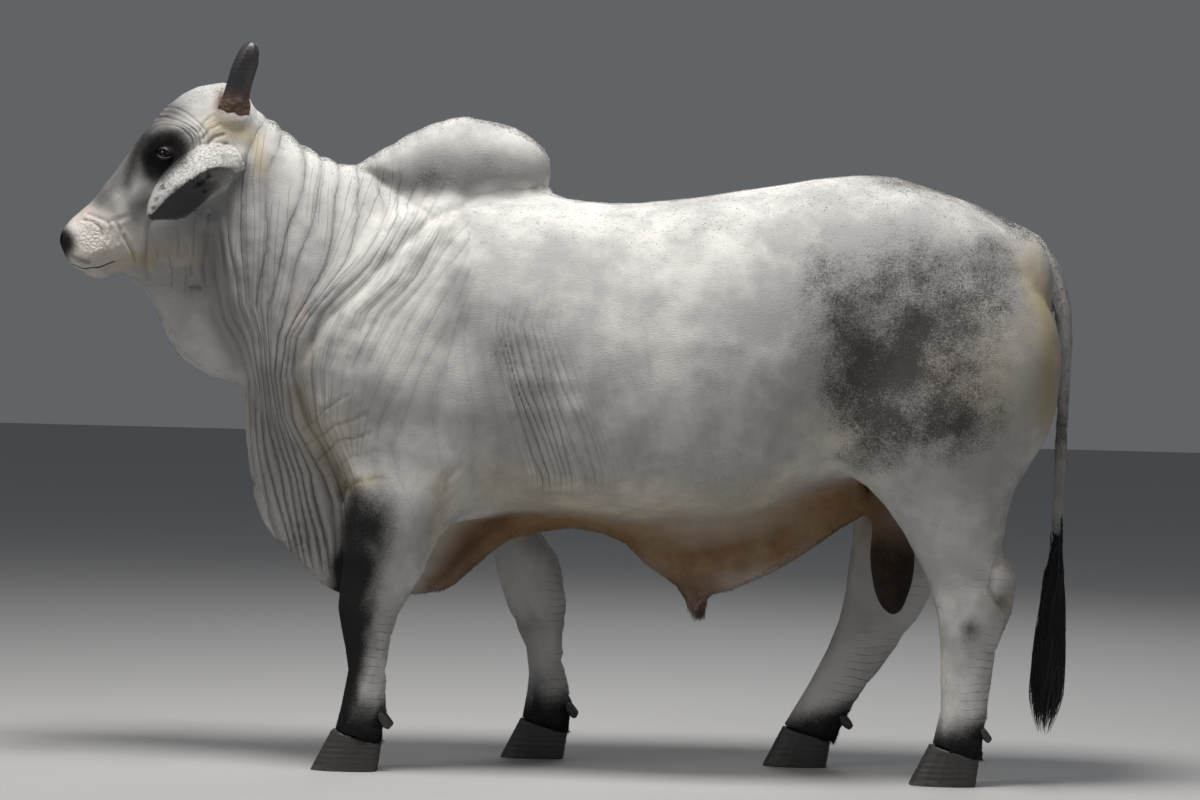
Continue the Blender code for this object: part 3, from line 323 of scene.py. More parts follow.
def dress(thing: bpy.types.Object, material: bpy.types.Material) -> bpy.types.Object:
    """Gives a mesh object one material and smooth shading.

    Args:
        thing: The object.
        material: The material.

    Returns:
        The same object.
    """
    thing.data.materials.clear()
    thing.data.materials.append(material)
    thing.data.shade_smooth()
    return thing


def mesh_object(name: str, points: Array, faces: Array) -> bpy.types.Object:
    """A mesh object of triangles or of quads.

    Args:
        name: The object's name.
        points: Its points.
        faces: Its faces, all with the same count of corners.

    Returns:
        The object, linked to the scene.
    """
    corners = faces.shape[1]
    mesh = bpy.data.meshes.new(name)
    mesh.vertices.add(len(points))
    mesh.vertices.foreach_set("co", points.astype(np.float32).ravel())
    mesh.loops.add(faces.size)
    mesh.loops.foreach_set("vertex_index", faces.astype(np.int32).ravel())
    mesh.polygons.add(len(faces))
    mesh.polygons.foreach_set("loop_start", np.arange(0, faces.size, corners, dtype=np.int32))
    mesh.update(calc_edges=True)
    return placed(name, mesh)


def near_node(points: Array, node: str, reach: float) -> Array:
    """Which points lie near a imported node's surface.

    Args:
        points: Places, one a row.
        node: The node's name.
        reach: How near, in metres.

    Returns:
        1 for each near point and 0 for each other.
    """
    low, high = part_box(node)
    share = np.zeros(len(points))
    held = np.all((points > np.array(low) - reach) & (points < np.array(high) + reach), axis=1)
    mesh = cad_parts[node].data
    tree = BVHTree.FromPolygons([v.co for v in mesh.vertices], [p.vertices for p in mesh.polygons])
    for index in np.nonzero(held)[0]:
        if tree.find_nearest(points[index], reach)[0] is not None:
            share[index] = 1.0
    return share


def near_ears(points: Array, reach: float) -> Array:
    """Which points lie near an ear, as 1 or 0."""
    return np.maximum(near_node(points, "ear_left", reach), near_node(points, "ear_right", reach))


def only(thing: bpy.types.Object) -> None:
    """Selects one object and makes it active."""
    bpy.ops.object.select_all(action="DESELECT")
    thing.select_set(True)
    bpy.context.view_layer.objects.active = thing


def node_copy(node: str, grow: float = 0.0) -> bpy.types.Object:
    """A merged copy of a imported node's mesh.

    Args:
        node: The node's name.
        grow: How far the copy's surface moves out.

    Returns:
        The copy.
    """
    bm = bmesh.new()
    bm.from_mesh(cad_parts[node].data)
    bmesh.ops.remove_doubles(bm, verts=bm.verts, dist=1e-5)
    bm.normal_update()
    for vert, normal in [(v, v.normal.copy()) for v in bm.verts]:
        vert.co += normal * grow
    return from_bmesh(node + "_copy", bm)


def modify(thing: bpy.types.Object, kind: str, **settings: object) -> None:
    """Adds a modifier to a mesh object and applies it.

    Args:
        thing: The object.
        kind: The modifier's type.
        settings: Its settings.
    """
    only(thing)
    made = thing.modifiers.new(kind.lower(), kind)
    for key, value in settings.items():
        setattr(made, key, value)
    bpy.ops.object.modifier_apply(modifier=made.name)


def weigh(thing: bpy.types.Object, name: str, weights: Array) -> str:
    """Gives a mesh object a vertex group.

    Args:
        thing: The object.
        name: The group's name.
        weights: The weight of each point.

    Returns:
        The group's name.
    """
    group = thing.vertex_groups.new(name=name)
    levels = np.clip((weights * 10).round().astype(int), 0, 10)
    for level in range(1, 11):
        index = np.nonzero(levels == level)[0].tolist()
        if index:
            group.add(index, level / 10, "REPLACE")
    return group.name


def largest_only(thing: bpy.types.Object) -> None:
    """Deletes all but the largest loose part of a mesh object."""
    with editing(thing) as bm:
        left = set(bm.verts)
        groups = []
        while left:
            queue = [left.pop()]
            group = list(queue)
            while queue:
                for edge in queue.pop().link_edges:
                    fresh = [vert for vert in edge.verts if vert in left]
                    left.difference_update(fresh)
                    group += fresh
                    queue += fresh
            groups.append(group)
        groups.sort(key=len)
        for group in groups[:-1]:
            bmesh.ops.delete(bm, geom=group, context="VERTS")


def attribute(thing: bpy.types.Object, name: str, values: Array) -> None:
    """Stores a number or a vector for each point of a mesh object.

    Args:
        thing: The object.
        name: The attribute's name.
        values: One number or one row of three for each point.
    """
    kind, slot = ("FLOAT_VECTOR", "vector") if values.ndim == 2 else ("FLOAT", "value")
    made = thing.data.attributes.new(name, kind, "POINT")
    made.data.foreach_set(slot, values.astype(np.float32).ravel())


# Shader maths


class Wire:
    """A shader socket that takes part in sums and products."""

    def __init__(self, tree: bpy.types.NodeTree, socket: bpy.types.NodeSocket) -> None:
        """Wraps a socket of a tree."""
        self.tree = tree
        self.socket = socket

    def maths(self, operation: str, *values: object) -> "Wire":
        """Adds a Math node.

        Args:
            operation: The node's operation.
            values: Its inputs, wires or numbers.

        Returns:
            The result.
        """
        made = self.tree.nodes.new("ShaderNodeMath")
        made.operation = operation
        for socket, value in zip(made.inputs, values):
            if isinstance(value, Wire):
                self.tree.links.new(value.socket, socket)
            else:
                socket.default_value = float(value)
        return Wire(self.tree, made.outputs[0])

    def __add__(self, other: object) -> "Wire":
        """The sum."""
        return self.maths("ADD", self, other)

    __radd__ = __add__

    def __sub__(self, other: object) -> "Wire":
        """The difference."""
        return self.maths("SUBTRACT", self, other)

    def __rsub__(self, other: object) -> "Wire":
        """The difference from a number."""
        return self.maths("SUBTRACT", other, self)

    def __mul__(self, other: object) -> "Wire":
        """The product."""
        return self.maths("MULTIPLY", self, other)

    __rmul__ = __mul__

    def magnitude(self) -> "Wire":
        """The value without its sign."""
        return self.maths("ABSOLUTE", self)

    def sine(self) -> "Wire":
        """The sine of the value."""
        return self.maths("SINE", self)

    def clamped(self) -> "Wire":
        """The value kept from 0 to 1."""
        return self.maths("MINIMUM", self.maths("MAXIMUM", self, 0), 1)


class Shader:
    """A procedural material under construction."""

    def __init__(self, name: str, roughness: float = 0.8) -> None:
        """Starts a Principled material.

        Args:
            name: The material's name.
            roughness: Its roughness.
        """
        self.material = bpy.data.materials.new(name)
        self.material.use_nodes = True
        self.tree = self.material.node_tree
        self.surface = self.tree.nodes["Principled BSDF"]
        self.surface.inputs["Roughness"].default_value = roughness
        self.place = self.wire(self.node("ShaderNodeTexCoord"), "Object")

    def node(self, kind: str, settings: Optional[dict] = None,
             inputs: Optional[dict] = None) -> bpy.types.Node:
        """Adds a node.

        Args:
            kind: The node's type.
            settings: Its own settings, set first.
            inputs: Values or wires for its sockets, by name or index.

        Returns:
            The node.
        """
        made = self.tree.nodes.new(kind)
        for key, value in (settings or {}).items():
            setattr(made, key, value)
        for key, value in (inputs or {}).items():
            if isinstance(value, Wire):
                self.tree.links.new(value.socket, made.inputs[key])
            else:
                made.inputs[key].default_value = value
        return made

    def wire(self, made: bpy.types.Node, output: object = 0) -> Wire:
        """The wire from a node's output."""
        return Wire(self.tree, made.outputs[output])

    def mark(self, name: str, vector: bool = False) -> Wire:
        """The wire of a mesh attribute."""
        made = self.node("ShaderNodeAttribute", {"attribute_name": name})
        return self.wire(made, "Vector" if vector else "Fac")

    def parts(self, vector: Wire) -> tuple[Wire, Wire, Wire]:
        """The three numbers of a vector."""
        made = self.node("ShaderNodeSeparateXYZ", inputs={0: vector})
        return self.wire(made, 0), self.wire(made, 1), self.wire(made, 2)

    def vector(self, x: object, y: object, z: object) -> Wire:
        """A vector of three numbers."""
        return self.wire(self.node("ShaderNodeCombineXYZ", inputs={0: x, 1: y, 2: z}))

    def stretched(self, scale: tuple[float, float, float], source: Optional[Wire] = None) -> Wire:
        """Places with each direction scaled on its own."""
        made = self.node(
            "ShaderNodeVectorMath", {"operation": "MULTIPLY"}, {0: source or self.place, 1: scale}
        )
        return self.wire(made)

    def noise(self, scale: float, detail: float = 3.0, rough: float = 0.55,
              source: Optional[Wire] = None) -> Wire:
        """Soft noise about 0.5.

        Args:
            scale: Steps a metre.
            detail: How many finer sizes are added.
            rough: How strong the finer sizes are.
            source: The places, which are the object's own unless given.

        Returns:
            The noise.
        """
        made = self.node(
            "ShaderNodeTexNoise",
            inputs={"Vector": source or self.place, "Scale": scale, "Detail": detail, "Roughness": rough},
        )
        return self.wire(made, 0)

    def cells(self, scale: float, source: Optional[Wire] = None, feature: str = "F1") -> Wire:
        """The distance to the middle or the edge of the nearest cell."""
        made = self.node(
            "ShaderNodeTexVoronoi", {"feature": feature}, {"Vector": source or self.place, "Scale": scale}
        )
        return self.wire(made, "Distance")

    def step(self, value: Wire, low: float, high: float) -> Wire:
        """A smooth step of a value from 0 at low to 1 at high."""
        made = self.node(
            "ShaderNodeMapRange",
            {"interpolation_type": "SMOOTHSTEP"},
            {"Value": value, "From Min": low, "From Max": high, "To Min": 0.0, "To Max": 1.0},
        )
        return self.wire(made)

    def blend(self, share: object, first: object, second: object, mode: str = "MIX") -> Wire:
        """Mixes two colours.

        Args:
            share: How much of the second.
            first: A colour or its wire.
            second: A colour or its wire.
            mode: The way they mix.

        Returns:
            The mixed colour.
        """
        made = self.node("ShaderNodeMix", {"data_type": "RGBA", "blend_type": mode, "clamp_factor": True})
        for index, value in ((0, share), (6, first), (7, second)):
            if isinstance(value, Wire):
                self.tree.links.new(value.socket, made.inputs[index])
            elif index:
                made.inputs[index].default_value = (*value, 1)
            else:
                made.inputs[index].default_value = value
        return Wire(self.tree, made.outputs[2])

    def scaled(self, colour: object, factor: Wire) -> Wire:
        """A colour made lighter or darker by a number."""
        grey = self.vector(factor, factor, factor)
        return self.blend(1.0, colour, grey, "MULTIPLY")

    def finish(self, colour: object, relief: Optional[Wire] = None, depth: float = 0.001,
               roughness: Optional[Wire] = None) -> bpy.types.Material:
        """Links the colour, the relief and the roughness to the surface.

        Args:
            colour: The colour or its wire.
            relief: The height of the relief, from 0 to 1.
            depth: The relief's depth in metres.
            roughness: The roughness, where it varies.

        Returns:
            The material.
        """
        if isinstance(colour, Wire):
            self.tree.links.new(colour.socket, self.surface.inputs["Base Color"])
        else:
            self.surface.inputs["Base Color"].default_value = (*colour, 1)
        if relief is not None:
            bump = self.node("ShaderNodeBump", inputs={"Height": relief, "Strength": 1.0, "Distance": depth})
            self.tree.links.new(bump.outputs[0], self.surface.inputs["Normal"])
        if roughness is not None:
            self.tree.links.new(roughness.socket, self.surface.inputs["Roughness"])
        return self.material


# Markings


class Places:
    """Places on the animal, with where the side-view drawing shows them.

    The drawing is taken from the left, 9 m away. A place on the right half is also read as its mirror
    image on the left, about the head's own middle plane on the head and about y = 0 elsewhere.
    """

    DRAWN_FROM = 9.0
    AIM = Vector((0.084, 0.0, 0.8825))

    def __init__(self, points: Array) -> None:
        """Works out the drawing's columns and rows of all places."""
        self.points = points
        self.right = points[:, 1] > 0
        self.head = Places.head_share(points)
        turn = np.array(head_turn())
        back = np.linalg.inv(turn)
        straight = points @ back[:3, :3].T + back[:3, 3]
        self.right = np.where(self.head > 0.5, straight[:, 1] > 0, self.right)
        straight[:, 1] = -np.abs(straight[:, 1])
        turned = straight @ turn[:3, :3].T + turn[:3, 3]
        mirrored = points * (1, -1, 1)
        mirrored[:, 1] = -np.abs(points[:, 1])
        self.straight = straight
        self.near = self.drawn(np.where(self.head[:, None] > 0.5, turned, mirrored))
        self.true = self.drawn(points)

    @staticmethod
    def head_share(points: Array) -> Array:
        """How much each point belongs to the head, from 0 to 1."""
        x, z = points[:, 0], points[:, 2]
        behind = (x + 0.775) * 0.953 - (z - 1.42) * 0.303
        jaw = z - (1.115 + 0.10 * np.clip(-0.86 - x, 0, 0.2))
        return step(0.02, -0.02, behind) * step(-0.03, 0.0, jaw)

    @classmethod
    def drawn(cls, points: Array) -> Array:
        """The drawing's columns and rows of points."""
        eye, turn = drawing_station()
        local = (points - np.array(eye)) @ np.array(turn)
        scale = cls.DRAWN_FROM / GRID / np.maximum(-local[:, 2], 0.1)
        return np.stack((600 + local[:, 0] * scale, 400 - local[:, 1] * scale), axis=1)

    def grid(self, flank: Flank) -> Array:
        """The columns and rows that a marking of a flank is read at."""
        return self.true if flank is Flank.RIGHT else self.near

    def on(self, flank: Flank) -> Array:
        """Which places are on a flank."""
        if flank is Flank.BOTH:
            return np.ones(len(self.points))
        return (self.right == (flank is Flank.RIGHT)) * 1.0


def drawing_station() -> tuple[Vector, Matrix]:
    """Where the side view is drawn from, and its turn."""
    yaw = math.radians(2.0)
    reach = Places.DRAWN_FROM
    eye = Places.AIM + Vector((reach * math.sin(yaw), -reach * math.cos(yaw), 0.0875))
    look = (Places.AIM - eye).to_track_quat("-Z", "Y").to_matrix()
    return eye, look @ Matrix.Rotation(math.radians(1.4), 3, "Z")


@dataclass(frozen=True)
class Blot:
    """A soft marking: its middle and half sizes on the drawing, its turn and its strength."""

    column: float
    row: float
    wide: float
    high: float
    turn: float = 0.0
    strength: float = 1.0
    flank: Flank = Flank.BOTH

    def cover(self, places: Places) -> Array:
        """How strongly the marking covers places, from 0 to 1."""
        turn = math.radians(self.turn)
        grid = places.grid(self.flank)
        across, up = grid[:, 0] - self.column, self.row - grid[:, 1]
        along = (across * math.cos(turn) + up * math.sin(turn)) / self.wide
        aside = (up * math.cos(turn) - across * math.sin(turn)) / self.high
        return self.strength * np.exp(-((along**2 + aside**2) ** 1.4)) * places.on(self.flank)


@dataclass(frozen=True)
class Streak:
    """A soft marking along a bent line on the drawing."""

    line: tuple
    wide: float
    strength: float = 1.0
    flank: Flank = Flank.BOTH

    def cover(self, places: Places) -> Array:
        """How strongly the marking covers places, from 0 to 1."""
        distance = np.abs(line_distance(places.grid(self.flank), self.line)) / self.wide
        return self.strength * np.exp(-(distance**2)) * places.on(self.flank)


def from_sac(points: Array) -> Array:
    """How far points lie from the scrotum's upright middle line."""
    return np.hypot(points[:, 0] - SAC_AXIS, points[:, 1])


def on_tail(points: Array) -> Array:
    """Which points lie on the tail, clear of the rump."""
    return (points[:, 0] > TAIL_FRONT) * (np.abs(points[:, 1]) < TAIL_HALF)


def covered(places: Places, markings: Iterable) -> Array:
    """How strongly several markings together cover places."""
    bare = np.ones(len(places.points))
    for marking in markings:
        bare *= 1 - marking.cover(places)
    return 1 - bare


@dataclass(frozen=True)
class FoldGuide:
    """A line that the neck's folds follow, with its station across them and how deep they are there."""

    line: tuple
    station: float
    depth: float

    def columns(self, rows: Array) -> Array:
        """The line's columns at rows."""
        places = sorted(place[::-1] for place in self.line)
        return np.interp(rows, [row for row, _ in places], [column for _, column in places])


FOLD_GUIDES = (
    FoldGuide(((222, 100), (205, 150), (205, 214), (214, 270), (222, 320), (236, 350), (244, 380), (248, 450),
               (262, 520), (285, 570)), 0.00, 0.7),
    FoldGuide(((262, 110), (248, 180), (245, 250), (246, 306), (258, 337), (264, 380), (270, 432), (282, 500),
               (300, 575)), 0.10, 1.0),
    FoldGuide(((330, 130), (316, 194), (311, 250), (300, 298), (282, 337), (277, 376), (284, 418), (312, 475),
               (322, 531), (328, 600)), 0.21, 1.0),
    FoldGuide(((400, 180), (387, 216), (356, 264), (337, 284), (309, 317), (297, 340), (295, 376), (309, 424),
               (323, 446), (342, 483), (351, 503), (355, 545)), 0.31, 0.8),
    FoldGuide(((450, 180), (432, 216), (398, 278), (362, 312), (339, 368), (334, 418), (344, 449), (355, 477),
               (360, 520)), 0.42, 0.40),
    FoldGuide(((500, 190), (468, 242), (438, 292), (404, 348), (388, 376), (372, 410), (362, 449), (362, 475),
               (368, 520)), 0.53, 0.30),
    FoldGuide(((515, 190), (500, 245), (488, 330), (498, 390), (510, 432), (520, 475), (522, 520)),
              0.72, 0.15),
    FoldGuide(((530, 190), (512, 245), (499, 330), (514, 390), (529, 432), (543, 475), (546, 520)),
              0.76, 0.75),
    FoldGuide(((575, 190), (550, 245), (533, 326), (551, 390), (568, 432), (583, 475), (584, 520)),
              0.94, 0.60),
    FoldGuide(((620, 190), (600, 245), (575, 326), (592, 390), (608, 432), (622, 475)), 1.10, 0.10),
    FoldGuide(((860, 190), (850, 326), (850, 475)), 1.75, 0.06),
)


def fold_field(places: Places) -> tuple[Array, Array]:
    """Where places lie across the folds of the neck and shoulder.

    Args:
        places: The places.

    Returns:
        The station across the folds in metres, and how deep the folds are there, from 0 to 1.
    """
    column, row = places.near[:, 0], places.near[:, 1]
    columns = [guide.columns(row) for guide in FOLD_GUIDES]
    station = np.zeros(len(column))
    depth = np.full(len(column), FOLD_GUIDES[0].depth)
    for k in range(len(FOLD_GUIDES) - 1):
        first, second = FOLD_GUIDES[k], FOLD_GUIDES[k + 1]
        share = np.clip((column - columns[k]) / np.maximum(columns[k + 1] - columns[k], 3), 0, 1)
        station += share * (second.station - first.station)
        depth += share * (second.depth - first.depth)
    before = step(-14, 2, column - columns[0])
    low = step(590, 545, row)
    back = np.where(column > 470, step(270, 370, row) * step(505, 470, row), 1.0)
    hump = 1 - 0.92 * Blot(465, 158, 105, 42).cover(places)
    legs = np.where(column > 345, step(545, 470, row), 1.0)
    return station, depth * before * low * back * hump * legs * (1 - places.head)


@dataclass(frozen=True)
class Crease:
    """A line where the skin is drawn in, with its half width and depth, its lip and how dark its painted
    shade is.
    """

    line: tuple
    width: float
    depth: float
    lip: float = 0.35
    dark: float = 0.5
    flank: Flank = Flank.BOTH

    def relief(self, places: Places, grid: Array) -> Array:
        """The height of the skin near the line, in metres."""
        distance = np.abs(line_distance(grid, self.line)) * GRID / self.width
        groove = -self.depth * np.exp(-(distance**1.6))
        swell = self.lip * self.depth * np.exp(-((distance - 2.4) ** 2) / 1.6)
        return (groove + swell) * places.on(self.flank)


@dataclass(frozen=True)
class Swell:
    """A rounded muscle or hollow: a soft marking that stands out by a height in metres."""

    shape: Blot
    height: float


class Hollows:
    """All the creases and swells of the hide."""

    CREASES = (
        Crease(((436, 212), (400, 246), (356, 288), (316, 332), (300, 365), (299, 395), (312, 430),
                (332, 466), (347, 490)), 0.0170, 0.0150, 0.7, 0.20),
        Crease(((209, 235), (214, 280), (222, 320), (234, 345), (242, 367)), 0.0150, 0.0150, 0.5, 0.20),
        Crease(((366, 168), (385, 182), (408, 198), (432, 214), (452, 208), (480, 194), (515, 191),
                (536, 192)), 0.0140, 0.0230, 0.10, 0.35),
        Crease(((486, 488), (512, 514), (564, 509), (597, 509), (640, 516), (700, 522), (740, 520),
                (780, 506), (812, 484), (838, 474)), 0.0140, 0.0120, 0.3, 0.15),
        Crease(((345, 487), (358, 482), (384, 478)), 0.0050, 0.0040, 0.4, 0.5),
        Crease(((306, 446), (335, 425), (370, 412)), 0.0050, 0.0026, 0.4, 0.6),
        Crease(((304, 430), (325, 410), (350, 396)), 0.0045, 0.0024, 0.4, 0.6),
        Crease(((318, 462), (340, 440), (372, 430)), 0.0045, 0.0026, 0.4, 0.6),
        Crease(((330, 476), (352, 456), (380, 450)), 0.0045, 0.0024, 0.4, 0.5),
        Crease(((425, 560), (432, 522), (448, 502), (470, 484)), 0.0100, 0.0080, 0.4, 0.35),
        Crease(((452, 530), (440, 500), (446, 478), (462, 462)), 0.0080, 0.0050, 0.4, 0.35),
        Crease(((430, 590), (452, 570), (470, 545), (492, 528), (520, 520)), 0.0080, 0.0060, 0.4, 0.35),
        Crease(((480, 484), (520, 492), (575, 494)), 0.0060, 0.0026, 0.4, 0.4),
        Crease(((82, 220), (91, 222), (98, 229), (101, 237)), 0.0036, 0.0020, 0.5, 0.35),
        Crease(((88, 214), (98, 219), (107, 223), (118, 221), (127, 217)), 0.0050, 0.0018, 0.6, 0.10),
        Crease(((107, 224), (109, 232), (107, 242)), 0.0032, 0.0018, 0.6, 0.2),
        Crease(((116, 225), (119, 233), (118, 243)), 0.0032, 0.0018, 0.6, 0.2),
        Crease(((123, 238), (130, 246), (136, 259)), 0.0040, 0.0026, 0.4, 0.4),
        Crease(((154, 214), (149, 232), (146, 256), (147, 276)), 0.0060, 0.0040, 0.4, 0.35),
        Crease(((179, 226), (180, 242), (179, 258)), 0.0032, 0.0014, 0.4, 0.40),
        Crease(((196, 218), (195, 249), (191, 276)), 0.0036, 0.0022, 0.4, 0.60),
        Crease(((209, 212), (207, 249), (204, 268), (206, 300)), 0.0042, 0.0032, 0.4, 0.60),
        Crease(((158, 251), (158, 260)), 0.0030, 0.0010, 0.3, 0.50),
        Crease(((168, 257), (170, 267)), 0.0030, 0.0010, 0.3, 0.50),
        Crease(((172, 268), (171, 284)), 0.0030, 0.0010, 0.3, 0.55),
        Crease(((188, 246), (189, 256)), 0.0030, 0.0010, 0.3, 0.55),
        Crease(((187, 266), (186, 292)), 0.0032, 0.0012, 0.3, 0.50),
        Crease(((206, 146), (214, 138), (224, 135)), 0.0034, 0.0022, 0.5, 0.6),
        Crease(((206, 152), (216, 146), (228, 144)), 0.0034, 0.0022, 0.5, 0.6),
        Crease(((202, 139), (209, 130), (219, 125)), 0.0034, 0.0020, 0.5, 0.5),
        Crease(((198, 133), (204, 122), (212, 116)), 0.0034, 0.0020, 0.5, 0.5),
        Crease(((1003, 555), (992, 566), (989, 583), (994, 599), (1008, 608)), 0.0050, 0.0060, 0.4, 0.6,
               Flank.LEFT),
        Crease(((962, 566), (968, 590), (966, 612)), 0.0060, 0.0040, 0.4, 0.3, Flank.LEFT),
        Crease(((930, 600), (950, 604), (968, 600)), 0.0040, 0.0020, 0.4, 0.4, Flank.LEFT),
        Crease(((935, 640), (958, 652), (985, 646)), 0.0040, 0.0020, 0.4, 0.3, Flank.LEFT),
        Crease(((1016, 350), (1014, 400), (1004, 450), (990, 490)), 0.0160, 0.0040, 0.3, 0.0),
        Crease(((960, 424), (1000, 430), (1030, 420)), 0.0050, 0.0022, 0.4, 0.25),
        Crease(((955, 440), (990, 450), (1022, 444)), 0.0050, 0.0022, 0.4, 0.25),
        Crease(((500, 542), (530, 548), (562, 545)), 0.0050, 0.0024, 0.4, 0.3, Flank.RIGHT),
        Crease(((508, 620), (540, 617), (566, 620)), 0.0035, 0.0022, 0.4, 0.5, Flank.RIGHT),
        Crease(((512, 632), (545, 628), (566, 632)), 0.0035, 0.0022, 0.4, 0.5, Flank.RIGHT),
    )
    SWELLS = (
        Swell(Blot(350, 372, 42, 62, 10), 0.012),
        Swell(Blot(425, 405, 55, 60, 20), 0.012),
        Swell(Blot(462, 268, 20, 62, -24), 0.007),
        Swell(Blot(492, 415, 16, 62, -8), -0.007),
        Swell(Blot(402, 312, 16, 60, -35), -0.005),
        Swell(Blot(838, 425, 26, 52, 20), -0.008),
        Swell(Blot(868, 236, 30, 20, 0), 0.010),
        Swell(Blot(820, 262, 34, 38, 0), -0.006),
        Swell(Blot(915, 430, 52, 60, 0), 0.009),
        Swell(Blot(1000, 300, 24, 50, 10), 0.006),
        Swell(Blot(966, 300, 14, 60, 10), -0.004),
        Swell(Blot(640, 400, 70, 90, 0), 0.006),
        Swell(Blot(166, 218, 22, 26, 30), 0.005),
        Swell(Blot(134, 218, 10, 24, 20), -0.004),
        Swell(Blot(118, 206, 30, 7, -55), 0.003),
        Swell(Blot(176, 126, 20, 7, 5), 0.006),
        Swell(Blot(154, 133, 13, 6, 55), 0.005),
        Swell(Blot(166, 153, 16, 13, 0), -0.0035),
        Swell(Blot(78, 236, 10, 12, 0), 0.002),
        Swell(Blot(100, 246, 14, 9, -30), 0.003),
        Swell(Blot(1003, 583, 11, 19, -8, 1.0, Flank.LEFT), 0.009),
        Swell(Blot(1055, 335, 14, 34, 0), 0.007),
        Swell(Blot(984, 540, 6, 26, 10, 1.0, Flank.LEFT), -0.006),
        Swell(Blot(968, 634, 12, 11, 0, 1.0, Flank.LEFT), 0.0035),
        Swell(Blot(365, 640, 14, 22, 0, 1.0, Flank.LEFT), 0.005),
        Swell(Blot(538, 625, 20, 22, 0, 1.0, Flank.RIGHT), 0.006),
    )
    BROW_RINGS = ((25.0, 0.0026), (28.4, 0.0016), (31.8, 0.0026), (36.0, 0.0014), (40.5, 0.0018))

    @staticmethod
    def wandering(places: Places) -> Array:
        """The drawing's places, shifted a little so that no line runs straight."""
        drift = [fractal(places.points * 15, 2, 40 + k) * 2.0 for k in range(2)]
        return places.near + np.stack(drift, axis=1)

    @classmethod
    def brow_rings(cls, places: Places, grid: Array) -> Array:
        """The rings of wrinkles above and behind the eye."""
        across, up = grid[:, 0] - 167, 151 - grid[:, 1]
        radius = np.hypot(across, up * 0.90) + 1.6 * lattice_noise(places.points * 26, 48)
        angle = np.arctan2(up, across)
        share = step(-0.45, 0.10, angle) * step(2.75, 2.15, angle) * places.head
        total = np.zeros(len(radius))
        for middle, depth in cls.BROW_RINGS:
            total -= depth * np.exp(-(((radius - middle) / 1.0) ** 2))
        return total * share

    @classmethod
    def crease_relief(cls, places: Places) -> tuple[Array, Array]:
        """The creases' height in metres, and how dark their painted shade is."""
        grid = cls.wandering(places)
        broken = 0.75 + 0.45 * lattice_noise(places.points * 19, 47)
        height = cls.brow_rings(places, grid)
        # Painted shade in the wrinkles of the brow, darker where they are deeper.
        dark = np.clip(-height / 0.0034, 0, 1) * 0.62
        for crease in cls.CREASES:
            relief = crease.relief(places, grid if crease.flank is not Flank.RIGHT else places.true)
            height = height + relief * broken
            # Painted shade in each crease, darkest at its deepest.
            dark = np.maximum(dark, np.clip(-relief / crease.depth, 0, 1) ** 2.5 * crease.dark * broken)
        return height, dark

    @staticmethod
    def ring_share(places: Places) -> Array:
        """How strong the rings of loose skin round the lower legs are, from 0 to 1."""
        x, y, z = places.points.T
        behind = step(-0.5, 0.7, behind_leg(places.points))
        hind = x > 0.25
        low = step(0.42, 0.30, z) + 0.7 * np.exp(-(((z - 0.47) / 0.05) ** 2)) * hind
        low = np.where((~hind) & (y > 0), step(0.66, 0.50, z), low)
        legs = (z < 0.68) * (x < 1.11) * (np.abs(y) > 0.09)
        broken = step(-0.30, 0.45, lattice_noise(places.points * (22, 22, 34), 14) + 0.5 * behind)
        return np.clip(low, 0, 1) * (0.12 + 0.88 * behind) * legs * broken

    @classmethod
    def pleats(cls, places: Places) -> tuple[Array, Array]:
        """The long folds of the neck: how near each place is to a valley, from 0 to 1, and their depth."""
        station, depth = fold_field(places)
        phase = pleat_phase(station, places.points[:, 2], places.points[:, 1], np.sin)
        return 1 - np.abs(np.sin(phase)) ** 0.8, depth

    @classmethod
    def relief(cls, places: Places) -> Array:
        """The height of all the hide's folds, creases and swells, in metres."""
        valley, depth = cls.pleats(places)
        column, row = places.near[:, 0], places.near[:, 1]
        hanging = step(330, 400, row) * step(345, 325, column)
        total = -(0.0062 + 0.0060 * hanging) * valley * depth
        ring = 1 - np.abs(np.sin(ring_phase(*places.points.T, np.sin))) ** 0.7
        total = total - 0.0032 * ring * cls.ring_share(places)
        total = total + cls.crease_relief(places)[0]
        tail = on_tail(places.points)
        for swell in cls.SWELLS:
            total = total + swell.height * swell.shape.cover(places) * (1 - tail)
        soft = 0.0034 * fractal(places.points * 8, 2, 51) + 0.0012 * fractal(places.points * 28, 2, 52)
        return total + soft * (1 - 0.7 * places.head)


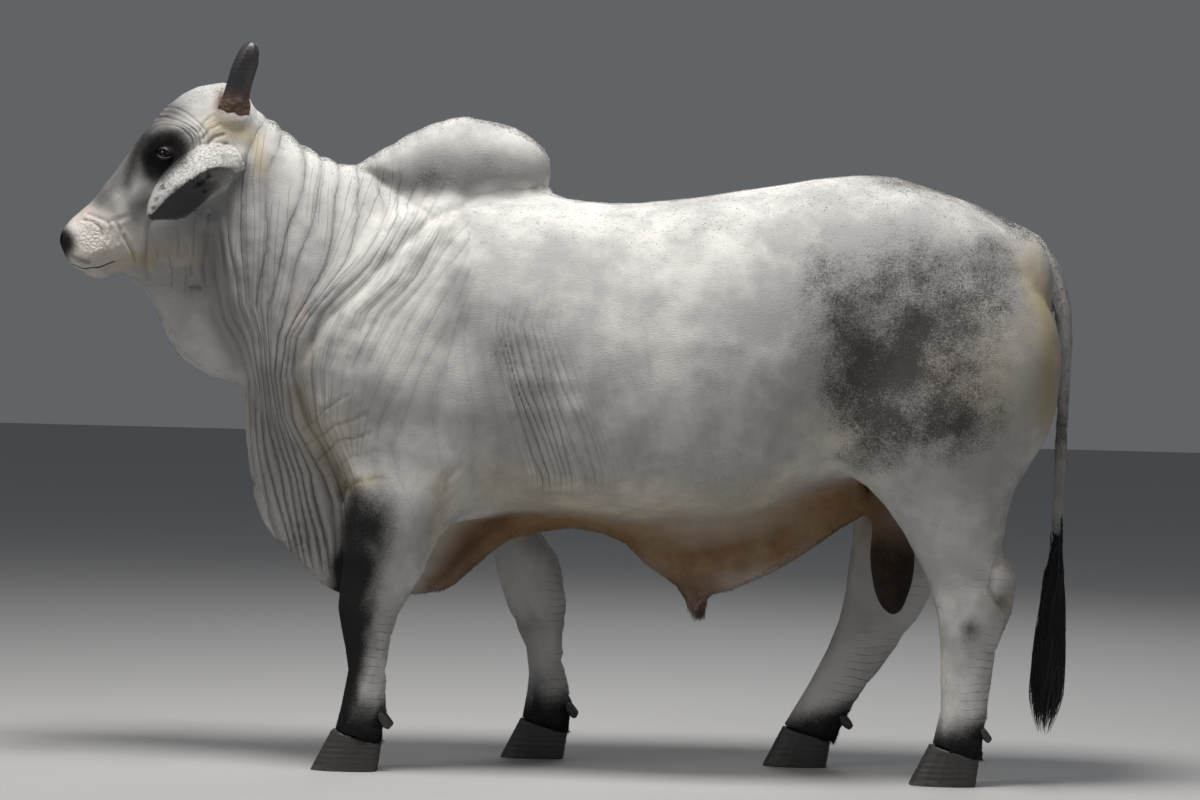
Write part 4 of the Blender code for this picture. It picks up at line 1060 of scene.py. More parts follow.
class Markings:
    """The colours of the hide, as functions of a place on it."""

    HIND_CLOUD = (
        Blot(908, 322, 112, 108, 0, 0.46),
        Blot(892, 280, 30, 22, 15, 0.40),
        Blot(923, 333, 26, 26, -15, 0.84),
        Blot(940, 308, 30, 24, 0, 0.50),
        Blot(878, 376, 54, 32, 8, 0.82),
        Blot(850, 322, 24, 32, 0, 0.45),
        Blot(986, 276, 38, 32, 0, 0.50),
        Blot(966, 345, 32, 44, 0, 0.50),
        Blot(884, 422, 52, 38, 0, 0.58),
        Blot(968, 428, 44, 32, 0, 0.58),
        Blot(925, 400, 60, 40, 0, 0.40),
        Blot(930, 184, 66, 12, -8, 0.80),
        Blot(1000, 212, 44, 12, -38, 0.62),
        Blot(452, 174, 92, 24, 4, 0.26),
        Blot(250, 300, 60, 110, 0, 0.12),
        Blot(820, 300, 30, 70, 0, 0.22),
        Blot(500, 350, 26, 40, 0, 0.20),
        Blot(870, 460, 60, 20, 0, 0.22),
    )
    LEG_BLACK = (
        Blot(375, 522, 28, 38, 0, 0.76, Flank.LEFT),
        Streak(((370, 538), (366, 570)), 16, 0.55, Flank.LEFT),
        Streak(((364, 565), (363, 590), (361, 615), (357, 636)), 17, 1.0, Flank.LEFT),
        Streak(((352, 570), (350, 600), (350, 640), (352, 665)), 13, 1.0, Flank.LEFT),
        Streak(((350, 665), (348, 690), (346, 712)), 13, 1.0, Flank.LEFT),
        Blot(530, 706, 16, 26, 0, 0.7, Flank.RIGHT),
        Streak(((1010, 610), (1004, 640)), 5, 0.4, Flank.LEFT),
        Blot(969, 634, 14, 13, 0, 0.74, Flank.LEFT),
        Blot(1002, 602, 8, 5, 0, 0.60, Flank.LEFT),
        Streak(((354, 500), (348, 535), (344, 565)), 14, 0.72, Flank.LEFT),
        Streak(((344, 565), (339, 600), (339, 640), (343, 668)), 12, 1.0, Flank.LEFT),
    )
    FACE_BLACK = (
        Blot(167, 150, 25, 23, 0, 1.0),
        Blot(165, 151, 19, 17, 0, 1.0),
        Blot(155, 168, 15, 18, 15, 0.9),
        Streak(((143, 130), (137, 150), (130, 170), (127, 184)), 8, 0.62),
    )
    # Grey of the face: partly its own grey, partly painted shade down the bridge of the nose and under the
    # horn.
    FACE_GREY_AND_PAINTED_SHADE = (
        Streak(((172, 110), (158, 122), (144, 140), (130, 160), (116, 180), (100, 198)), 14, 0.90),
        Streak(((148, 178), (144, 204)), 12, 0.75),
        Blot(168, 150, 36, 33, 0, 0.60),
        Blot(222, 158, 18, 14, 30, 0.35),
        Blot(120, 230, 40, 26, 0, 0.14),
    )
    # Mostly yellow-brown stains; low on the flank and thigh the yellow is a painted reflection of
    # yellow-green light from below.
    OCHRE = (
        Streak(((1028, 258), (1042, 298), (1050, 350), (1048, 410)), 12, 0.95),
        Streak(((118, 262), (132, 256), (148, 262)), 9, 0.70),
        Streak(((150, 250), (195, 256)), 9, 0.35),
        Streak(((240, 130), (256, 142), (262, 170)), 9, 0.50),
        Streak(((298, 400), (322, 448), (345, 485)), 12, 0.42),
        Blot(330, 440, 30, 34, 0, 0.25),
        Streak(((306, 350), (300, 400)), 10, 0.22),
        Streak(((345, 487), (375, 480)), 8, 0.5),
        Streak(((500, 486), (560, 502), (640, 510), (720, 512), (790, 495)), 26, 0.42),
        Streak(((445, 480), (438, 540)), 12, 0.35),
        Blot(222, 128, 20, 14, -20, 0.65),
        Blot(1003, 603, 9, 12, 0, 0.6),
        Blot(850, 430, 60, 40, 0, 0.20),
        Blot(990, 380, 60, 70, 0, 0.32),
    )
    FLESH_TONE = (
        Streak(((478, 540), (510, 524), (560, 525), (640, 545), (700, 560), (780, 545), (868, 512)), 34, 1.0),
        Streak(((432, 585), (458, 570), (485, 540), (505, 522)), 18, 0.95),
        Blot(835, 500, 56, 22, 20, 0.9),
        Blot(690, 585, 40, 22, 0, 0.9),
    )
    PINK = (
        Blot(82, 212, 13, 8, -40, 0.60),
        Blot(1006, 574, 7, 11, 0, 0.6),
        Blot(936, 373, 30, 16, 0, 0.20),
        Blot(300, 312, 10, 14, 0, 0.30),
    )
    UMBER = (
        Streak(((455, 562), (478, 535), (500, 515), (515, 500)), 10, 0.85),
        Streak(((430, 588), (455, 583), (476, 560)), 6, 0.6),
        Blot(700, 602, 11, 18, 0, 0.95),
        Streak(((672, 588), (690, 592)), 8, 0.7),
        Streak(((875, 500), (884, 540), (896, 600)), 20, 0.5),
    )
    # Darker grey of the coat, most of it painted shade: the neck and cheek under the head, the side of the
    # hump, the lower thigh and the far legs.
    GREY_AND_PAINTED_SHADE = (
        Streak(((236, 190), (240, 250), (252, 330)), 30, 0.60),
        Streak(((215, 230), (222, 300), (240, 340)), 22, 0.85),
        Streak(((262, 190), (262, 300), (270, 380)), 38, 0.85),
        Streak(((320, 210), (300, 320), (285, 400)), 38, 0.75),
        Streak(((262, 430), (290, 500), (320, 560)), 36, 0.55),
        Blot(178, 222, 44, 44, 0, 0.90),
        Blot(226, 205, 22, 60, 0, 0.80),
        Streak(((298, 400), (320, 470), (340, 540)), 16, 0.40),
        Blot(452, 172, 92, 26, 4, 0.85),
        Blot(540, 170, 26, 26, 0, 0.60),
        Blot(470, 330, 40, 30, 0, 0.30),
        Blot(515, 400, 40, 90, 0, 0.60),
        Blot(400, 430, 60, 40, 0, 0.35),
        Blot(930, 480, 90, 46, 0, 0.40),
        Blot(560, 250, 60, 30, 0, 0.15),
        Blot(700, 400, 80, 60, 0, 0.12),
        Blot(545, 580, 40, 110, 0, 0.45, Flank.RIGHT),
        Blot(850, 620, 60, 90, 0, 0.35, Flank.RIGHT),
        Streak(((1050, 280), (1066, 330), (1066, 400), (1060, 540)), 9, 0.22),
    )

    EAR_AXIS = ((-0.790, -0.098, 1.432), (-0.984, -0.244, 1.294))
    EAR_SPOTS = (
        Blot(162, 187, 3.0, 2.4, 40, 0.65),
        Blot(156, 199, 3.0, 2.6, 60, 0.75),
        Blot(153, 208, 2.6, 3.0, 80, 0.70),
        Blot(176, 188, 6.0, 2.4, 35, 0.45),
        Blot(199, 184, 7.0, 3.0, 38, 0.90),
        Blot(208, 177, 4.0, 2.6, 30, 0.90),
        Blot(204, 191, 3.4, 2.4, 0, 0.70),
    )

    @classmethod
    def ear_inside(cls, places: Places, normals: Array) -> Array:
        """How much each place lies in the dark hollow of an ear, from 0 to 1."""
        points = places.points
        held = near_ears(points, 0.009)
        back = np.linalg.inv(np.array(head_turn()))[:3, :3]
        faces = normals @ back.T
        faces[:, 1] *= np.where(places.right, -1.0, 1.0)
        root, tip = np.array(cls.EAR_AXIS[0]), np.array(cls.EAR_AXIS[1])
        along = (tip - root) / np.linalg.norm(tip - root)
        away = places.straight - root
        far = away @ along
        inward = units(far[:, None] * along - away)
        facing = step(0.05, 0.35, np.sum(faces * inward, axis=1))
        return held * facing * step(0.035, 0.125, far)

    @classmethod
    def paint(cls, points: Array, normals: Array) -> dict[str, Array]:
        """The markings at points.

        Args:
            points: Places on the hide, one a row.
            normals: The way the hide faces there.

        Returns:
            An array for each marking, by its name.
        """
        places = Places(points)
        x, y, z = points.T
        station, depth = fold_field(places)
        pastern = step(0.200, 0.095, z - 0.018 * behind_leg(points)) * (x < 1.11)
        nose = Blot(62, 242, 15, 20, 8, 1.0).cover(places)
        nose = np.maximum(nose, 0.55 * Streak(((66, 252), (78, 259), (88, 262)), 4.0).cover(places))
        black = 1 - (1 - covered(places, cls.LEG_BLACK)) * (1 - covered(places, cls.FACE_BLACK)) * (1 - nose)
        sac = step(0.70, 0.58, z) * (from_sac(points) < 0.085) * (z > 0.30)
        under = step(0.16, 0.08, np.abs(y)) * (z < 0.78)
        tail = on_tail(points)
        clouds = cls.HIND_CLOUD + cls.EAR_SPOTS
        ear = near_ears(points, 0.009)
        scurf = Blot(221, 101, 7, 13, -12, 0.95).cover(places) * places.head
        tail_patches = np.clip(0.35 + 0.9 * fractal(points * (9, 9, 11), 2, 77), 0, 1) * tail
        return {
            "charcoal": np.maximum(covered(places, clouds) * (1 - tail), 0.42 * tail_patches),
            "ink": 1 - (1 - black) * (1 - 0.97 * pastern) * (1 - 0.80 * sac * step(0.66, 0.50, z)),
            # Grey of the face, partly painted shade.
            "face": covered(places, cls.FACE_GREY_AND_PAINTED_SHADE) * np.maximum(places.head, 0.3) * (1 - ear),
            # Stains, with a painted reflection of yellow-green light low on the flank.
            "ochre": covered(places, cls.OCHRE) * (1 - tail),
            "flesh": np.maximum(covered(places, cls.FLESH_TONE) * under, 0.8 * sac),
            "pink": np.maximum(covered(places, cls.PINK), Blot(153, 221, 5, 5, 0, 0.8).cover(places) * ear),
            "umber": np.maximum(covered(places, cls.UMBER) * np.maximum(under, sac), scurf),
            # Darker grey, mostly painted shade.
            "grey_and_painted_shade": covered(places, cls.GREY_AND_PAINTED_SHADE) * (1 - ear),
            # Painted shade in the creases.
            "painted_crease_shade": np.clip(Hollows.crease_relief(places)[1], 0, 1),
            "muzzle": Blot(96, 240, 36, 30, 0, 1.0).cover(places),
            "cobble": Blot(92, 238, 17, 21, 20, 1.0).cover(places) * (1 - nose),
            "folds": np.stack((station, depth, Hollows.ring_share(places)), axis=1),
            "ear_inside": cls.ear_inside(places, normals),
        }


def behind_leg(points: Array) -> Array:
    """How far back on its own leg a point lies, from about -1 in front to 1 behind."""
    x, z = points[:, 0], points[:, 2]
    left = points[:, 1] < 0
    fore = np.where(left, -0.45, -0.04)
    hind = np.where(left, 0.955, 0.600 + 0.50 * np.clip(z - 0.06, 0, 0.5))
    return (x - np.where(x < 0.25, fore, hind)) / 0.06


# The hide


@dataclass
class Hide:
    """One skin over all the flesh, from the throat to the tail."""

    voxel: float = 0.0056
    overlap: float = 0.0010
    under_coat: float = 0.0022
    soft_rounds: int = 32
    body_triangles: int = 132000
    head_triangles: int = 56000
    thing: Optional[bpy.types.Object] = None

    def ear_share(self, points: Array) -> Array:
        """How much each point belongs to an ear."""
        return near_ears(points, 0.007)

    def gather(self) -> None:
        """Joins copies of the flesh into one closed skin."""
        copies = []
        for node in FLESH:
            copy = node_copy(node, self.overlap + (0.0030 if node == "scrotum" else 0.0))
            if node.startswith("ear") or node == "scrotum":
                modify(copy, "SUBSURF", levels=2, render_levels=2)
            copies.append(copy)
        copies += [self.horn_collar(side) for side in (-1, 1)]
        bpy.ops.object.select_all(action="DESELECT")
        for copy in copies:
            copy.select_set(True)
        bpy.context.view_layer.objects.active = copies[0]
        bpy.ops.object.join()
        self.thing = bpy.context.view_layer.objects.active
        self.thing.name = self.thing.data.name = "hide"
        modify(self.thing, "REMESH", mode="VOXEL", voxel_size=self.voxel)
        largest_only(self.thing)

    @staticmethod
    def horn_collar(side: int) -> bpy.types.Object:
        """A knob of skin that closes the socket round a horn's root."""
        bpy.ops.mesh.primitive_uv_sphere_add(segments=32, ring_count=20, radius=1.0, location=(0, 0, 0))
        thing = bpy.context.object
        place = head_turn() @ Matrix.Translation((-0.803, side * 0.078, 1.520))
        thing.data.transform(place @ Matrix.Diagonal((0.046, 0.042, 0.040, 1)))
        return thing

    def soften(self) -> None:
        """Smooths away the facets of the solids, least where the form is fine."""
        points, edges = points_of(self.thing), edges_of(self.thing)
        head, ears = Places.head_share(points), self.ear_share(points)
        x, y, z = points.T
        legs = step(0.62, 0.50, z)
        tail = (x > TAIL_FRONT + 0.02) * (np.abs(y) < TAIL_HALF + 0.006)
        weight = (1 - 0.80 * head) * (1 - 0.35 * legs) * (1 - 0.5 * tail)
        weight = np.where(ears > 0, 0.16, weight)
        points = relaxed(points, edges, self.soft_rounds, weight)
        points = relaxed(points, edges, 4, weight, 0.0)
        sac = step(0.10, 0.08, np.hypot(x - SAC_AXIS, y)) * step(0.72, 0.66, z) * step(0.30, 0.32, z)
        points = relaxed(points, edges, 40, sac, -0.50)
        latch = Blot(194, 286, 26, 15).cover(Places(points)) * (np.abs(points[:, 1]) > 0.04)
        points = relaxed(points, edges, 60, latch, 0.0)
        dent = Blot(440, 146, 22, 15).cover(Places(points))
        points = relaxed(points, edges, 70, dent, 0.0)
        move_points(self.thing, points)

    def refine_head(self) -> None:
        """Splits the faces of the face and ears, where the detail is finest."""
        points = points_of(self.thing)
        fine = np.maximum(Places.head_share(points), self.ear_share(points)) > 0.5
        with editing(self.thing) as bm:
            edges = [e for e in bm.edges if fine[e.verts[0].index] and fine[e.verts[1].index]]
            bmesh.ops.subdivide_edges(bm, edges=edges, cuts=1, use_grid_fill=True)
            bmesh.ops.triangulate(bm, faces=[f for f in bm.faces if len(f.verts) > 4])
        points, edges = points_of(self.thing), edges_of(self.thing)
        share = np.maximum(Places.head_share(points), self.ear_share(points))
        move_points(self.thing, relaxed(points, edges, 8, 0.8 * share))

    def carve(self) -> None:
        """Cuts the eye openings, nostrils and the line of the mouth."""
        cutters = []
        for label in SIDES:
            cutters.extend(Face.openings(label))
        cutters.append(Face.mouth_slit())
        for cutter in cutters:
            modify(self.thing, "BOOLEAN", operation="DIFFERENCE", solver="MANIFOLD", object=cutter)
            bpy.data.objects.remove(cutter)
        largest_only(self.thing)
        modify(self.thing, "TRIANGULATE")

    def emboss(self) -> None:
        """Works the folds, creases and wrinkles into the skin and sinks it by the coat's depth."""
        points, normals = points_of(self.thing), normals_of(self.thing)
        height = Hollows.relief(Places(points))
        fine = self.ear_share(points)
        hollow = Markings.ear_inside(Places(points), normals)
        height = np.where(fine > 0, -0.0008 * hollow, height)
        depth = np.where(fine > 0, 0.0006, self.under_coat)
        move_points(self.thing, points + normals * (height - depth)[:, None])

    def decimate(self, name: str, weights: Array, ratio: float) -> None:
        """Drops faces of the skin.

        Args:
            name: The name of the vertex group that steers it.
            weights: How freely each point may go, from 0 to 1.
            ratio: The share of faces that stays.
        """
        group = weigh(self.thing, name, weights)
        modify(self.thing, "DECIMATE", ratio=ratio, vertex_group=group, vertex_group_factor=1.0)

    def thin_out(self) -> None:
        """Drops faces where the skin is plain, to stay light."""
        modify(self.thing, "TRIANGULATE")
        points = points_of(self.thing)
        head = np.maximum(Places.head_share(points), self.ear_share(points)) > 0.3
        faces = len(self.thing.data.polygons)
        corners = np.empty(faces * 3, np.int32)
        self.thing.data.polygons.foreach_get("vertices", corners)
        on_head = int(head[corners.reshape(-1, 3)].all(axis=1).sum())
        depth = fold_field(Places(points))[1]
        plain = np.where(head, 0.0, 1.0 - 0.55 * np.clip(depth * 1.4, 0, 1))
        sac = (from_sac(points) < 0.09) * (points[:, 2] < 0.66) * (points[:, 2] > 0.3)
        self.decimate("plain", np.where(sac, 0.25, plain), (on_head + self.body_triangles) / faces)
        points = points_of(self.thing)
        head = np.maximum(Places.head_share(points), self.ear_share(points)) > 0.3
        now = len(self.thing.data.polygons)
        left = now - max(0, on_head - self.head_triangles)
        self.decimate("face", np.where(head, 1.0, 0.0), min(1.0, left / now))
        self.thing.vertex_groups.clear()
        points, edges = points_of(self.thing), edges_of(self.thing)
        places = Places(points)
        plain = step(0.40, 0.15, fold_field(places)[1]) * (1 - places.head) * (self.ear_share(points) < 0.3)
        plain *= step(0.50, 0.58, points[:, 2]) * (points[:, 0] < 1.08)
        points = relaxed(points, edges, 2, plain, 0.0)
        move_points(self.thing, relaxed(points, edges, 6, plain, -0.50))

    def build(self, finish: "Coat") -> bpy.types.Object:
        """Makes the whole skin.

        Args:
            finish: The coat's finish.

        Returns:
            The skin's object.
        """
        for work in (self.gather, self.soften, self.refine_head, self.emboss, self.thin_out, self.carve):
            work()
            LOG.info("hide: %s, %d faces", work.__name__, len(self.thing.data.polygons))
        for name, values in Markings.paint(points_of(self.thing), normals_of(self.thing)).items():
            attribute(self.thing, name, values)
        return dress(self.thing, finish.material())


# The face


class Face:
    """The openings of the face, all placed on the straight head and turned with it."""

    EYE_RADIUS = 0.0205
    ALMOND = (0.0200, 0.0112)
    NOSTRIL = (-1.199, 0.0420, 1.2385)
    NOSTRIL_SIZE = (0.0215, 0.0085, 0.0125)
    MOUTH_HALF = 0.0013
    MOUTH_LINE = ((-1.250, 1.1985), (-1.195, 1.184), (-1.150, 1.166), (-1.110, 1.171), (-1.076, 1.186))

    @staticmethod
    def eye_centre(label: str) -> Vector:
        """The middle of an eyeball."""
        low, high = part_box(f"eye_{label}")
        return (low + high) / 2

    @staticmethod
    def eye_frame(label: str) -> tuple[Vector, Vector, Vector]:
        """The way an eye looks, the line of its opening and the way up across it."""
        side = -1 if label == "left" else 1
        look = (Matrix.Rotation(HEAD_TURN, 3, "Z") @ Vector((-0.28, side * 0.95, 0.05))).normalized()
        along = Vector((0.86, 0, -0.20))
        along = (along - look * along.dot(look)).normalized()
        up = look.cross(along).normalized()
        return look, along, up if up.z > 0 else -up

    @classmethod
    def almond(cls, angle: float, scale: float = 1.0) -> tuple[float, float]:
        """A point of the eye opening's outline, along it and up."""
        across = cls.ALMOND[0] * math.cos(angle) * scale
        rise = cls.ALMOND[1] * math.sin(angle) * (1 - 0.25 * abs(math.cos(angle))) * scale
        return across, rise

    @classmethod
    def openings(cls, label: str) -> list[bpy.types.Object]:
        """The cutters of one eye opening and one nostril."""
        side = -1 if label == "left" else 1
        look, along, up = cls.eye_frame(label)
        centre = cls.eye_centre(label)
        radius = cls.EYE_RADIUS + 0.0006
        bpy.ops.mesh.primitive_uv_sphere_add(segments=40, ring_count=24, radius=radius, location=centre)
        socket = bpy.context.object
        rings = []
        count = 40
        for reach, spread in ((cls.EYE_RADIUS * 0.3, 0.8), (0.045, 1.35)):
            for k in range(count):
                across, rise = cls.almond(2 * math.pi * k / count, spread)
                rings.append(centre + look * reach + along * across + up * rise)
        bm = bmesh.new()
        verts = [bm.verts.new(place) for place in rings]
        for k in range(count):
            n = (k + 1) % count
            bm.faces.new((verts[k], verts[n], verts[count + n], verts[count + k]))
        bm.faces.new(verts[:count])
        bm.faces.new(verts[count:])
        opening = from_bmesh("opening", bm)
        face_outward(opening)
        bpy.ops.mesh.primitive_uv_sphere_add(segments=28, ring_count=18, radius=1.0, location=(0, 0, 0))
        nostril = bpy.context.object
        x, y, z = cls.NOSTRIL
        turn = Matrix.Rotation(math.radians(-side * 34), 4, "Z") @ Matrix.Rotation(math.radians(-52), 4, "Y")
        place = head_turn() @ Matrix.Translation((x, side * y, z)) @ turn
        nostril.data.transform(place @ Matrix.Diagonal((*cls.NOSTRIL_SIZE, 1)))
        for thing in (socket, opening, nostril):
            only(thing)
            bpy.ops.object.transform_apply(location=True, rotation=True, scale=True)
        return [socket, opening, nostril]

    @classmethod
    def mouth_slit(cls) -> bpy.types.Object:
        """A thin wedge along the line of the mouth."""
        bm = bmesh.new()
        rows = []
        for y in (-0.12, 0.12):
            for offset in (-cls.MOUTH_HALF, cls.MOUTH_HALF):
                rows.append([bm.verts.new((x, y, z + offset)) for x, z in cls.MOUTH_LINE])
        for k in range(len(cls.MOUTH_LINE) - 1):
            for first, second in ((0, 1), (1, 3), (3, 2), (2, 0)):
                bm.faces.new((rows[first][k], rows[first][k + 1], rows[second][k + 1], rows[second][k]))
        for end in (0, -1):
            bm.faces.new([rows[r][end] for r in (0, 1, 3, 2)])
        thing = from_bmesh("mouth_slit", bm)
        face_outward(thing)
        thing.data.transform(head_turn())
        return thing


# Finishes


@dataclass(frozen=True)
class Coat:
    """The short grey coat and the skin under it."""

    pale: tuple = (0.540, 0.525, 0.505)
    # The darker grey of the coat, which also paints shade.
    grey: tuple = (0.118, 0.118, 0.125)
    black: tuple = (0.0060, 0.0058, 0.0062)
    charcoal: tuple = (0.040, 0.036, 0.035)
    ochre: tuple = (0.560, 0.430, 0.220)
    flesh: tuple = (0.205, 0.125, 0.064)
    umber: tuple = (0.090, 0.042, 0.024)
    cream: tuple = (0.660, 0.600, 0.540)
    pink: tuple = (0.500, 0.350, 0.290)
    fur: bool = False

    def weathering(self, s: Shader, patchy: Wire) -> Wire:
        """The coat's tone, with its stains, painted shade and painted reflection, from pale back to tan
        belly.

        Args:
            s: The material.
            patchy: Noise of hand-sized patches.

        Returns:
            The colour.
        """
        broad = s.noise(2.6, 4.0, 0.6)
        smooth_grey = s.step(broad + (patchy - 0.5) * 0.5, 0.36, 0.66)
        colour = s.scaled(self.pale, 0.66 + 0.34 * smooth_grey + 0.16 * patchy)
        colour = s.blend((1 - smooth_grey) * 0.16, colour, (0.30, 0.32, 0.35))
        # Mix in the darker grey, which is mostly painted shade.
        grey_and_painted_shade = s.mark("grey_and_painted_shade") * (0.45 + 1.1 * (patchy - 0.3))
        colour = s.blend(grey_and_painted_shade.clamped() * 0.86, colour, self.grey)
        # Yellow stains, and low on the flank a painted reflection of yellow-green light.
        stain_and_reflection = (s.mark("ochre") * (0.35 + 1.3 * patchy)).clamped()
        colour = s.blend(stain_and_reflection * 0.85, colour, (0.86, 0.74, 0.46), "MULTIPLY")
        colour = s.blend(stain_and_reflection * 0.20, colour, self.ochre)
        colour = s.blend((s.mark("pink") * (0.6 + 0.6 * patchy)).clamped(), colour, self.pink)
        colour = s.blend((s.mark("muzzle") * 0.80).clamped(), colour, self.cream)
        belly = s.scaled(self.flesh, 0.55 + 0.9 * s.noise(24.0, 5.0, 0.65))
        colour = s.blend((s.mark("flesh") * (0.75 + 0.5 * patchy)).clamped(), colour, belly)
        return s.blend((s.mark("umber") * (0.6 + 0.7 * patchy)).clamped(), colour, self.umber)

    def material(self) -> bpy.types.Material:
        """The finish as a material, with less relief on the tufts of fur."""
        s = Shader("coat_tufts" if self.fur else "hide_coat", 0.82)
        s.surface.inputs["Specular IOR Level"].default_value = 0.08
        patchy = s.noise(11.0, 5.0, 0.62)
        cloud = s.noise(9.0, 7.0, 0.70)
        speck = s.noise(230.0, 2.0, 0.6)
        hairs = s.noise(1.0, 3.0, 0.55, s.stretched((110.0, 520.0, 520.0)))
        station, depth, ringing = s.parts(s.mark("folds", True))
        x, y, height = s.parts(s.place)
        wobble = (s.noise(46.0, 3.0) - 0.5) * 0.55
        near_valley = (pleat_phase(station, height, y, Wire.sine) + wobble).sine().magnitude()
        breaks = s.vector(station * 17.0, height * 4.2, y * 9.0)
        seen_here = s.step(s.noise(1.0, 2.0, 0.5, breaks), 0.38, 0.60)
        main_line = (1 - s.step(near_valley, 0.0, 0.20)) * depth * (0.20 + 0.80 * seen_here)
        hollow = (1 - s.step(near_valley, 0.0, 0.95)) * depth
        near_line = (pleat_phase(station * 2.7, height, y, Wire.sine) + wobble).sine().magnitude()
        thin_here = s.step(s.noise(1.0, 2.0, 0.5, s.vector(station * 20.0, height * 6.0, 4.5)), 0.40, 0.56)
        thin_line = (1 - s.step(near_line, 0.0, 0.26)) * s.step(depth, 0.12, 0.5) * thin_here
        near_ring = (ring_phase(x, y, height, Wire.sine) + wobble * 2.0).sine().magnitude()
        ring_line = (1 - s.step(near_ring, 0.0, 0.26)) * ringing
        broken = s.step(s.noise(34.0, 2.0), 0.42, 0.60)

        colour = self.weathering(s, patchy)
        colour = s.scaled(colour, 0.93 + 0.14 * hairs + 0.10 * (speck - 0.5))
        # Mix in the face's grey, partly painted shade.
        face = (s.mark("face") * (0.45 + 1.1 * patchy)).clamped()
        colour = s.blend(face * 0.86, colour, (0.085, 0.078, 0.078))
        mark = s.mark("charcoal")
        smoke = mark + (cloud - 0.5) * 1.60 + (speck - 0.5) * 1.00
        dark = s.step(smoke, 0.08, 0.94) * s.step(mark, 0.02, 0.30)
        colour = s.blend(dark * 0.92, colour, self.charcoal)
        # Painted shade across the valleys of the neck's folds.
        colour = s.blend(hollow * 0.34, colour, (0.085, 0.085, 0.092))
        drawn = main_line * 0.58 + thin_line * 0.62 + ring_line * broken * 1.20
        colour = s.blend(drawn.clamped() * 0.56, colour, (0.060, 0.055, 0.055))
        # Painted shade in the creases and the brow's wrinkles, darkest where they are deepest.
        colour = s.blend((s.mark("painted_crease_shade") * (0.5 + patchy)).clamped() * 0.80, colour, (0.075, 0.062, 0.050))
        cobble = s.mark("cobble")
        to_edge = s.cells(88.0, s.place, "DISTANCE_TO_EDGE")
        gap = (1 - s.step(to_edge, 0.0, 0.16)) * cobble
        colour = s.blend(gap * 0.30, colour, (0.120, 0.098, 0.088))
        ink = s.mark("ink")
        soot = ink + (cloud - 0.5) * 0.50 * (1 - s.step(ink, 0.80, 0.99)) + (speck - 0.5) * 0.35
        sooty = s.step(soot, 0.08, 0.95) * s.step(ink, 0.03, 0.25)
        colour = s.blend(sooty * 0.97, colour, self.black)
        # The hollow of the ear in dark blue-grey: its darker skin, with painted shade where the hollow faces
        # inward.
        inner = (s.mark("ear_inside") * (0.80 + 0.4 * (patchy - 0.5))).clamped()
        colour = s.blend(inner * 0.93, colour, (0.036, 0.037, 0.044))
        relief = (
            0.42 * hairs + 0.20 * speck - 0.80 * main_line - 0.30 * thin_line - 0.55 * ring_line
            + 0.55 * cobble * s.step(to_edge, 0.0, 0.30) + 0.30 * s.cells(330.0) * s.mark("muzzle")
            - 0.35 * s.mark("painted_crease_shade")
        )
        wet = sooty * s.mark("muzzle")
        return s.finish(colour, relief, 0.0007 if self.fur else 0.0022, 0.84 - 0.46 * wet)


@dataclass(frozen=True)
class Keratin:
    """Horn or hoof: dark, with a rough brownish root band and rings of growth."""

    name: str
    dark: tuple
    root: tuple
    root_height: float
    tip_height: float
    rings: float
    roughness: float = 0.42

    def material(self) -> bpy.types.Material:
        """The finish as a material."""
        s = Shader(self.name, self.roughness)
        x, y, z = s.parts(s.place)
        grain = s.noise(1.0, 4.0, 0.6, s.stretched((420.0, 420.0, 60.0)))
        mottle = s.noise(38.0, 5.0, 0.65)
        wander = s.noise(14.0, 2.0)
        band = 1 - s.step(z + (mottle - 0.5) * 0.03, self.root_height, self.tip_height)
        ring = (((z + wander * 0.006) * self.rings).sine() + 1) * 0.5
        colour = s.scaled(self.dark, 0.60 + 0.9 * mottle)
        colour = s.blend((band * (0.35 + 1.0 * mottle)).clamped(), colour, self.root)
        colour = s.blend(ring * 0.035, colour, (0.30, 0.27, 0.24))
        relief = ring * 0.10 + grain * 0.50 + mottle * band * 1.8
        rough = self.roughness + 0.30 * band + 0.15 * (mottle - 0.5)
        return s.finish(colour, relief, 0.0012, rough)


@dataclass(frozen=True)
class Hair:
    """Long coarse hair, nearly black, a little browner at the ends."""

    root: tuple = (0.012, 0.011, 0.011)
    end: tuple = (0.020, 0.016, 0.013)

    def material(self) -> bpy.types.Material:
        """The finish as a material."""
        s = Shader("switch_hair", 0.5)
        streak = s.noise(1.0, 4.0, 0.6, s.stretched((700.0, 700.0, 26.0)))
        along = s.mark("along")
        colour = s.blend((along * 0.9 * streak).clamped(), self.root, self.end)
        return s.finish(colour, streak, 0.0008, 0.55 + 0.25 * streak)


@dataclass(frozen=True)
class DampSkin:
    """The bare, nearly black skin of lids and eye corners."""

    colour: tuple = (0.018, 0.015, 0.014)

    def material(self) -> bpy.types.Material:
        """The finish as a material."""
        s = Shader("lid_skin", 0.5)
        fine = s.noise(420.0, 4.0, 0.6)
        colour = s.scaled(self.colour, 0.6 + 0.9 * s.noise(90.0, 3.0))
        return s.finish(colour, fine, 0.0006, 0.34 + 0.3 * fine)


@dataclass(frozen=True)
class Eyeball:
    """A dark brown eye with a wide level pupil under a clear wet front."""

    iris: tuple = (0.028, 0.014, 0.008)
    pupil: tuple = (0.003, 0.003, 0.004)
    white: tuple = (0.20, 0.16, 0.14)

    def material(self) -> bpy.types.Material:
        """The finish as a material."""
        s = Shader("eye", 0.06)
        off, up = s.mark("off_axis"), s.mark("pupil")
        rays = s.noise(260.0, 3.0)
        colour = s.scaled(self.iris, 0.6 + rays)
        colour = s.blend(s.step(up, 1.08, 0.92), colour, self.pupil)
        colour = s.blend(s.step(off, 0.80, 0.92), colour, self.white)
        return s.finish(colour, rays, 0.0001)


